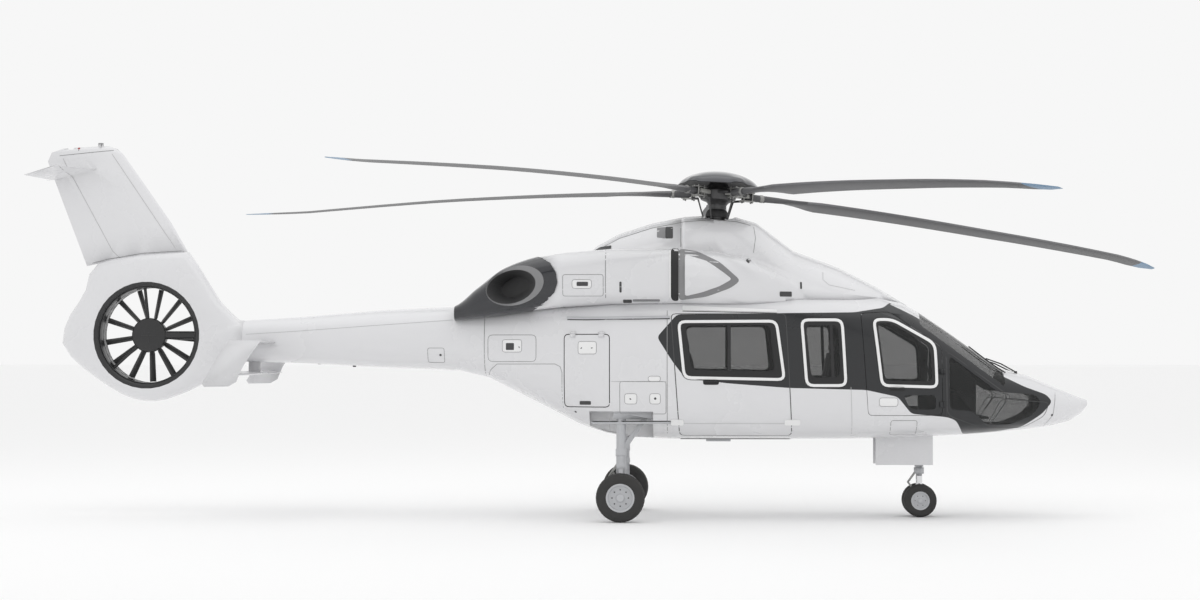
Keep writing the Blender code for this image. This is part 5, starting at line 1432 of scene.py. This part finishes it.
def buildWheel(name, settings):
    r, w, rim, hub = settings["radius"], settings["width"] / 2, settings["rim"], settings["hub"]
    wall = r - rim
    tread = (
        (rim + 0.004, -w * 0.80), (rim + wall * 0.30, -w * 0.96), (rim + wall * 0.62, -w),
        (r - wall * 0.13, -w * 0.90), (r - wall * 0.04, -w * 0.70), (r - 0.001, -w * 0.40),
        (r - 0.008, -w * 0.37), (r - 0.008, -w * 0.28), (r, -w * 0.25),
    )
    half = tread + tuple((radius, -height) for radius, height in reversed(tread))
    face = (
        (0.0, w * 1.00), (hub * 0.70, w * 0.99), (hub * 0.85, w * 0.90), (hub, w * 0.62), (rim * 0.62, w * 0.42),
        (rim * 0.84, w * 0.50), (rim * 0.93, w * 0.78), (rim + 0.008, w * 0.84), (rim + 0.010, w * 0.76),
        (rim - 0.004, w * 0.70),
    )
    disc = face + tuple((radius, -height) for radius, height in reversed(face))
    rubber, metal, bolts = bmesh.new(), bmesh.new(), bmesh.new()
    for centre in settings["centres"]:
        place = turnTo((0, 1, 0), centre)
        addLathe(rubber, half, place, 36, True)
        addLathe(metal, disc, place, 36)
        for k in range(settings["bolts"]):
            a = 2 * math.pi * k / settings["bolts"]
            spot = place @ Matrix.Translation((rim * 0.60 * math.cos(a), rim * 0.60 * math.sin(a), 0))
            addTube(bolts, [spot @ Vector((0, 0, -w * 0.50)), spot @ Vector((0, 0, w * 0.50))], rim * 0.055, 8)
    tyre = addPiece(f"{name}Tyre", rubber, "tyreRubber", settings["body"], 42)
    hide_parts(settings["node"])
    addPiece(f"{name}Rim", metal, "gearPaint", settings["body"], 38)
    addPiece(f"{name}Bolts", bolts, "darkMetal", settings["body"], 38)


for name, settings in wheels.items():
    buildWheel(name, settings)
tube("noseAxle", [(2.62, -0.14, -0.765), (2.62, 0.14, -0.765)], 0.030, "darkMetal", "nose_wheel_pair", 16)

# Main legs: cylinder, piston, axle, drag brace, torque links and brake
mainLeg = {
    "top": (-1.25, 0.77, 0.37), "foot": (-1.25, 1.01, -0.71), "radius": 0.062, "piston": 0.043,
    "axle": (1.02, 1.285, 0.034), "wheelZ": -0.67, "brace": (-0.91, 0.72, 0.37), "brake": 0.118,
}


# A flat bar between two points, its width along X
def addBar(bm, start, end, width, thick):
    start, end = Vector(start), Vector(end)
    place = turnTo(end - start, (start + end) / 2, "X")
    addBlock(bm, place, (width, thick, (end - start).length), 0.004, 2)


def buildMainLegs():
    for title, word, side in sides:
        top, foot, brace = (Vector(mainLeg[key]) * 1.0 for key in ("top", "foot", "brace"))
        for spot in (top, foot, brace):
            spot.y *= side
        at = [top.lerp(foot, t) for t in (0.0, 0.03, 0.58, 0.60, 0.64, 0.66)]
        r = mainLeg["radius"]
        leg = tube(f"mainLeg{title}", at, [r, r, r, r + 0.007, r + 0.007, r * 0.8], "gearPaint", sides=28)
        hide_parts(f"main_gear_leg_{word}")
        tube(f"mainPiston{title}", [top.lerp(foot, t) for t in (0.64, 0.90)], mainLeg["piston"], "chromeRod", sides=28)
        near, far, axleRadius = mainLeg["axle"]
        z = mainLeg["wheelZ"]
        bm = bmesh.new()
        addTube(bm, [top.lerp(foot, t) for t in (0.86, 0.88, 0.99, 1.0)], [0.052, 0.058, 0.058, 0.050], 24)
        addTube(bm, [(foot.x, side * near, z), (foot.x, side * far, z)], axleRadius, 20)
        addTube(bm, [top.lerp(foot, 0.45), brace], 0.030, 16)
        addTube(bm, [top.lerp(foot, 0.41), top.lerp(foot, 0.49)], r + 0.008, 24)
        addBlock(bm, Matrix.Translation((-1.105, side * 0.745, 0.36)), (0.48, 0.20, 0.095), 0.012, 3)
        addPiece(f"mainLegFittings{title}", bm, "gearPaint")
        links = bmesh.new()
        knee = top.lerp(foot, 0.765) + Vector((-0.175, 0, 0))
        for spread in (-0.030, 0.030):
            addBar(links, top.lerp(foot, 0.60) + Vector((-0.06, spread, 0)), knee + Vector((0, spread * 0.4, 0)),
                   0.030, 0.014)
            addBar(links, top.lerp(foot, 0.93) + Vector((-0.05, spread, 0)), knee + Vector((0, spread * 0.4, 0)),
                   0.030, 0.014)
        addTube(links, [knee + Vector((0, -0.036, 0)), knee + Vector((0, 0.036, 0))], 0.014, 12)
        addPiece(f"mainTorqueLinks{title}", links, "hubMetal")
        lathe(f"mainBrake{title}", (
            (0.036, 0.0), (mainLeg["brake"] * 0.8, 0.0), (mainLeg["brake"], 0.012), (mainLeg["brake"], 0.050),
            (mainLeg["brake"] * 0.9, 0.058), (0.036, 0.058),
        ), turnTo((0, side, 0), (foot.x, side * 1.075, z)), "darkMetal", segments=36, shut=True)


buildMainLegs()

# Nose leg: chrome slide, torque links, steering collar, landing lamp
noseLeg = {"x": 2.62, "slide": 0.0425, "lamp": (2.70, 0.0, -0.12)}


def buildNoseLeg():
    x = noseLeg["x"]
    tube("noseSlide", [(x, 0, -0.45), (x, 0, -0.60)], noseLeg["slide"], "chromeRod", "nose_steering", 28)
    links = bmesh.new()
    for spread in (-0.022, 0.022):
        addBar(links, (x - 0.05, spread, -0.40), (x - 0.145, spread * 0.5, -0.53), 0.024, 0.012)
        addBar(links, (x - 0.045, spread, -0.665), (x - 0.145, spread * 0.5, -0.53), 0.024, 0.012)
    addTube(links, [(x - 0.145, -0.026, -0.53), (x - 0.145, 0.026, -0.53)], 0.011, 12)
    addPiece("noseTorqueLinks", links, "hubMetal", "nose_steering")
    collars = bmesh.new()
    for z in (-0.05, 0.10):
        addTube(collars, [(x, 0, z - 0.02), (x, 0, z + 0.02)], 0.066, 24)
    addTube(collars, [(x + 0.05, 0, -0.12), (x + 0.088, 0, -0.12)], 0.016, 12)
    addPiece("noseLegCollars", collars, "gearPaint")
    lampWay = turnTo((1, 0, -0.15), (x + 0.085, 0, -0.12))
    lathe("landingLampCase", ((0.0, -0.012), (0.040, -0.010), (0.062, 0.020), (0.066, 0.046), (0.060, 0.046),
                              (0.055, 0.030), (0, 0.012)), lampWay, "darkMetal", segments=32)
    lathe("landingLampLens", ((0.0, 0.050), (0.030, 0.048), (0.059, 0.040), (0.059, 0.034), (0, 0.040)), lampWay,
          "lampLens", segments=32)


buildNoseLeg()
print("landing gear built")


# Seats: a plain base, crowned cushions and piping round each
seating = {
    "floor": 0.3403, "reach": (0.055, 0.395), "height": 0.19,
    "sets": {
        "pilotSeatLeft": {"node": "pilot_seat_left", "x": 1.95, "y": 0.46, "width": 0.48, "places": 1, "facing": 1},
        "pilotSeatRight": {"node": "pilot_seat_right", "x": 1.95, "y": -0.46, "width": 0.48, "places": 1, "facing": 1},
        "rearBench": {"node": "cabin_seats_rear", "x": -0.42, "y": 0.0, "width": 1.60, "places": 3, "facing": 1},
        "frontBench": {"node": "cabin_seats_front", "x": 1.52, "y": 0.0, "width": 1.60, "places": 3, "facing": -1},
    },
}


# A stuffed pad: crowned faces, sides drawn in between the corners, sewn channels across it
def cushion(name, place, size, crown, channels, material):
    bm = bmesh.new()
    cube = bmesh.ops.create_cube(bm, size=2.0)
    bmesh.ops.subdivide_edges(bm, edges=bm.edges[:], cuts=11, use_grid_fill=True)
    for v in bm.verts:
        u, t, h = v.co
        full = (1 - abs(u) ** 3.5) * (1 - abs(t) ** 3.5)
        v.co.x = u * (1 - 0.035 * (1 - t * t) - 0.06 * h * h)
        v.co.y = t * (1 - 0.035 * (1 - u * u) - 0.06 * h * h)
        v.co.z = h * (0.72 + crown * full)
        if h > 0.9:
            for channel in channels:
                v.co.z -= 0.11 * math.exp(-((u - channel) / 0.045) ** 2) * min(1.0, full * 2)
    bmesh.ops.smooth_vert(bm, verts=bm.verts[:], factor=0.5, use_axis_x=True, use_axis_y=True, use_axis_z=True)
    bmesh.ops.transform(
        bm, matrix=place @ Matrix.Diagonal((size[0] / 2, size[1] / 2, size[2] / 2, 1)), verts=bm.verts[:],
    )
    piece = addPiece(name, bm, material, "airframe", 70)
    corners = roundOutline(((-1, -1), (1, -1), (1, 1), (-1, 1)), 0.16, 3)
    rim = [
        place @ Vector((
            x * size[0] / 2 * (1 - 0.035 * (1 - y * y)), y * size[1] / 2 * (1 - 0.035 * (1 - x * x)), 0,
        )) for x, y in corners
    ]
    tube(f"{name}Piping", rim, 0.005, "gasket", sides=6, closed=True)
    return piece


def buildSeats():
    floor = seating["floor"]
    for name, settings in seating["sets"].items():
        x, y, facing = settings["x"], settings["y"], settings["facing"]
        near, far = seating["reach"]
        base = block(
            f"{name}Base", Matrix.Translation((x + facing * (near + far) / 2, y, floor + seating["height"] / 2)),
            (far - near, settings["width"] - 0.06, seating["height"]), "blackPlastic", bevel=0.012,
        )
        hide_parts(settings["node"])
        step = settings["width"] / settings["places"]
        for k in range(settings["places"]):
            middle = y - settings["width"] / 2 + step * (k + 0.5)
            turn = Matrix.Rotation(0 if facing > 0 else math.pi, 4, "Z")
            label = f"{name}{k + 1}" if settings["places"] > 1 else name
            frame = Matrix.Translation((x, middle, floor)) @ turn
            cushion(
                f"{label}Bottom", frame @ Matrix.Translation((0.295, 0, 0.300)) @ Matrix.Rotation(-0.09, 4, "Y"),
                (0.47, step - 0.015, 0.155), 0.30, (-0.35, 0.1, 0.5), "seatLeather",
            )
            cushion(
                f"{label}Back", frame @ Matrix.Translation((0.052, 0, 0.595)) @ Matrix.Rotation(-0.175, 4, "Y")
                @ Matrix.Rotation(math.pi / 2, 4, "Y") @ Matrix.Rotation(math.pi, 4, "Z"),
                (0.46, step - 0.02, 0.115), 0.32, (-0.4, 0.0, 0.4), "seatLeather",
            )
            cushion(
                f"{label}Head", frame @ Matrix.Translation((-0.012, 0, 0.915)) @ Matrix.Rotation(-0.175, 4, "Y")
                @ Matrix.Rotation(math.pi / 2, 4, "Y") @ Matrix.Rotation(math.pi, 4, "Z"),
                (0.165, min(0.30, step * 0.62), 0.100), 0.30, (), "seatLeather",
            )


buildSeats()

# Displays and their frames on the instrument panel
panelScreens = {"places": (-0.375, -0.125, 0.125, 0.375), "size": (0.225, 0.165), "from": (2.902, 0.732),
                "to": (2.960, 1.008)}


def buildScreens():
    start, end = (Vector((x, 0, z)) for x, z in (panelScreens["from"], panelScreens["to"]))
    up = (end - start).normalized()
    out = Vector((-up.z, 0, up.x))
    width, height = panelScreens["size"]
    frames, screens = bmesh.new(), bmesh.new()
    for y in panelScreens["places"]:
        centre = (start + end) / 2 + out * 0.006 + Vector((0, y, 0))
        axes = Matrix((up, Vector((0, 1, 0)), out)).transposed().to_4x4()
        place = Matrix.Translation(centre) @ axes
        addBlock(frames, place, (height + 0.020, width + 0.014, 0.016), 0.004)
        addBlock(screens, place @ Matrix.Translation((0, 0, 0.004)), (height - 0.012, width - 0.020, 0.016), 0.002)
    addPiece("panelFrames", frames, "blackPlastic")
    addPiece("panelScreens", screens, "capGloss")


buildScreens()

# Wipers, lamps and small aerials
wipers = {
    "blades": (((3.30, 0.40, 1.34), (3.72, 0.46, 0.98)), ((3.12, 0.60, 1.02), (3.56, 0.66, 0.72))),
    "lift": 0.016, "radius": 0.008,
}


def buildWipers():
    for title, word, side in sides:
        bm = bmesh.new()
        for start, end in wipers["blades"][:1]:
            line = []
            for k in range(7):
                spot = Vector(start).lerp(Vector(end), k / 6)
                spot.y *= side
                place, normal = trees["hull"].find_nearest(spot)[:2]
                line.append(place + normal * wipers["lift"] * (1 if normal.z > 0 else -1))
            addTube(bm, line, wipers["radius"], 8)
            hold = line[3] + Vector((0, 0, 0.014))
            foot = Vector((3.86, side * 0.20, 0.93))
            place, normal = trees["hull"].find_nearest(foot)[:2]
            foot = place + normal * 0.012 * (1 if normal.z > 0 else -1)
            addTube(bm, [line[3], hold, hold.lerp(foot, 0.5) + Vector((0, 0, 0.02)), foot], 0.009, 8)
            addTube(bm, [foot + Vector((0, 0, -0.02)), foot + Vector((0, 0, 0.012))], 0.020, 14)
        addPiece(f"wiper{title}", bm, "blackPlastic")


smallParts = {
    "finBeacon": (-8.487, 0.0, 3.775), "aerials": ((-5.265, 1.06, 0.055), (-4.802, 1.03, 0.060), (-2.873, 0.84, 0.050)),
}


def buildSmallParts():
    lathe("finBeaconBase", ((0.0, 0.0), (0.034, 0.0), (0.034, 0.070), (0.028, 0.078), (0, 0.078)),
          Matrix.Translation(smallParts["finBeacon"]), "darkMetal", segments=24)
    lathe("finBeaconLens", ((0.0, 0.078), (0.026, 0.079), (0.026, 0.100), (0.018, 0.112), (0, 0.115)),
          Matrix.Translation(smallParts["finBeacon"]), "lampRed", segments=24)
    bm = bmesh.new()
    for x, z, height in smallParts["aerials"]:
        addBlock(bm, Matrix.Translation((x, 0, z - height / 2)), (0.045, 0.014, height), 0.005)
    addPiece("boomAerials", bm, "gapDark")


buildWipers()
buildSmallParts()
print("seats, panel and small parts built")


# Lines and sills on the body's lower and front parts
bodyLines = (
    ("quarterGlassLine", ((2.890, 1.190), (3.700, 0.606), (3.417, 0.175), (2.890, 0.368)), "gapDark", 0.010, 0.10),
    ("nosePanelLine", ((3.596, 0.569), (4.250, 0.520), (4.180, 0.345), (3.904, 0.19), (3.400, 0.205)), "gapDark",
     0.008, 0.06),
)


def buildBodyLines():
    for title, word, side in sides:
        for name, points, material, width, radius in bodyLines:
            ribbon(f"{name}{title}", "hull", side, roundOutline(points, radius), material, width=width, closed=True)
        skinStrip(f"doorSill{title}", "hull", side, [
            (growOutline(((-0.50, 0.075), (0.92, 0.075), (0.92, 0.045), (-0.50, 0.045)), 0.002), -0.004),
            (((-0.50, 0.075), (0.92, 0.075), (0.92, 0.045), (-0.50, 0.045)), 0.008),
            (growOutline(((-0.50, 0.075), (0.92, 0.075), (0.92, 0.045), (-0.50, 0.045)), -0.008), 0.010),
        ], "frameWhite")
        ribbon(f"doorSillShadow{title}", "hull", side, ((-0.50, 0.040), (0.92, 0.040)), "gapDark", width=0.012)


buildBodyLines()
print("body lines built")


# Studio
def buildStudio():
    bm = bmesh.new()
    ground = Matrix.Translation((0, 0, studio["ground"]))
    bmesh.ops.create_grid(bm, x_segments=1, y_segments=1, size=studio["halfWidth"], matrix=ground)
    mesh = bpy.data.meshes.new("studioFloor")
    bm.to_mesh(mesh)
    bm.free()
    floor = bpy.data.objects.new("studioFloor", mesh)
    bpy.context.scene.collection.objects.link(floor)
    material = bpy.data.materials.new("studioPaper")
    material.use_nodes = True
    shader = material.node_tree.nodes["Principled BSDF"]
    shader.inputs["Base Color"].default_value = (*studio["floorColour"], 1)
    shader.inputs["Roughness"].default_value = 0.9
    shader.inputs["Specular IOR Level"].default_value = 0.1
    mesh.materials.append(material)


def buildLights():
    world = bpy.data.worlds.new("studioWorld")
    bpy.context.scene.world = world
    world.use_nodes = True
    sky = world.node_tree.nodes["Background"]
    sky.inputs["Color"].default_value = (*studio["worldColour"], 1)
    sky.inputs["Strength"].default_value = studio["worldStrength"]
    for name, settings in lamps.items():
        data = bpy.data.lights.new(name, "AREA")
        data.shape = "RECTANGLE"
        data.size, data.size_y = settings["size"]
        data.energy = settings["power"]
        lamp = bpy.data.objects.new(name, data)
        lamp.location = settings["place"]
        way = Vector(settings["aim"]) - Vector(settings["place"])
        lamp.rotation_euler = way.to_track_quat("-Z", "Y").to_euler()
        bpy.context.scene.collection.objects.link(lamp)


def buildCamera():
    data = bpy.data.cameras.new("photoCamera")
    data.lens = shot["lens"]
    data.sensor_width = shot["sensor"]
    data.clip_end = 600.0
    camera = bpy.data.objects.new("photoCamera", data)
    camera.location = shot["place"]
    camera.rotation_euler = Vector(shot["forward"]).to_track_quat("-Z", "Y").to_euler()
    bpy.context.scene.collection.objects.link(camera)
    bpy.context.scene.camera = camera


bpy.context.scene.view_settings.view_transform = "Standard"
buildStudio()
buildLights()
buildCamera()
print("studio ready")
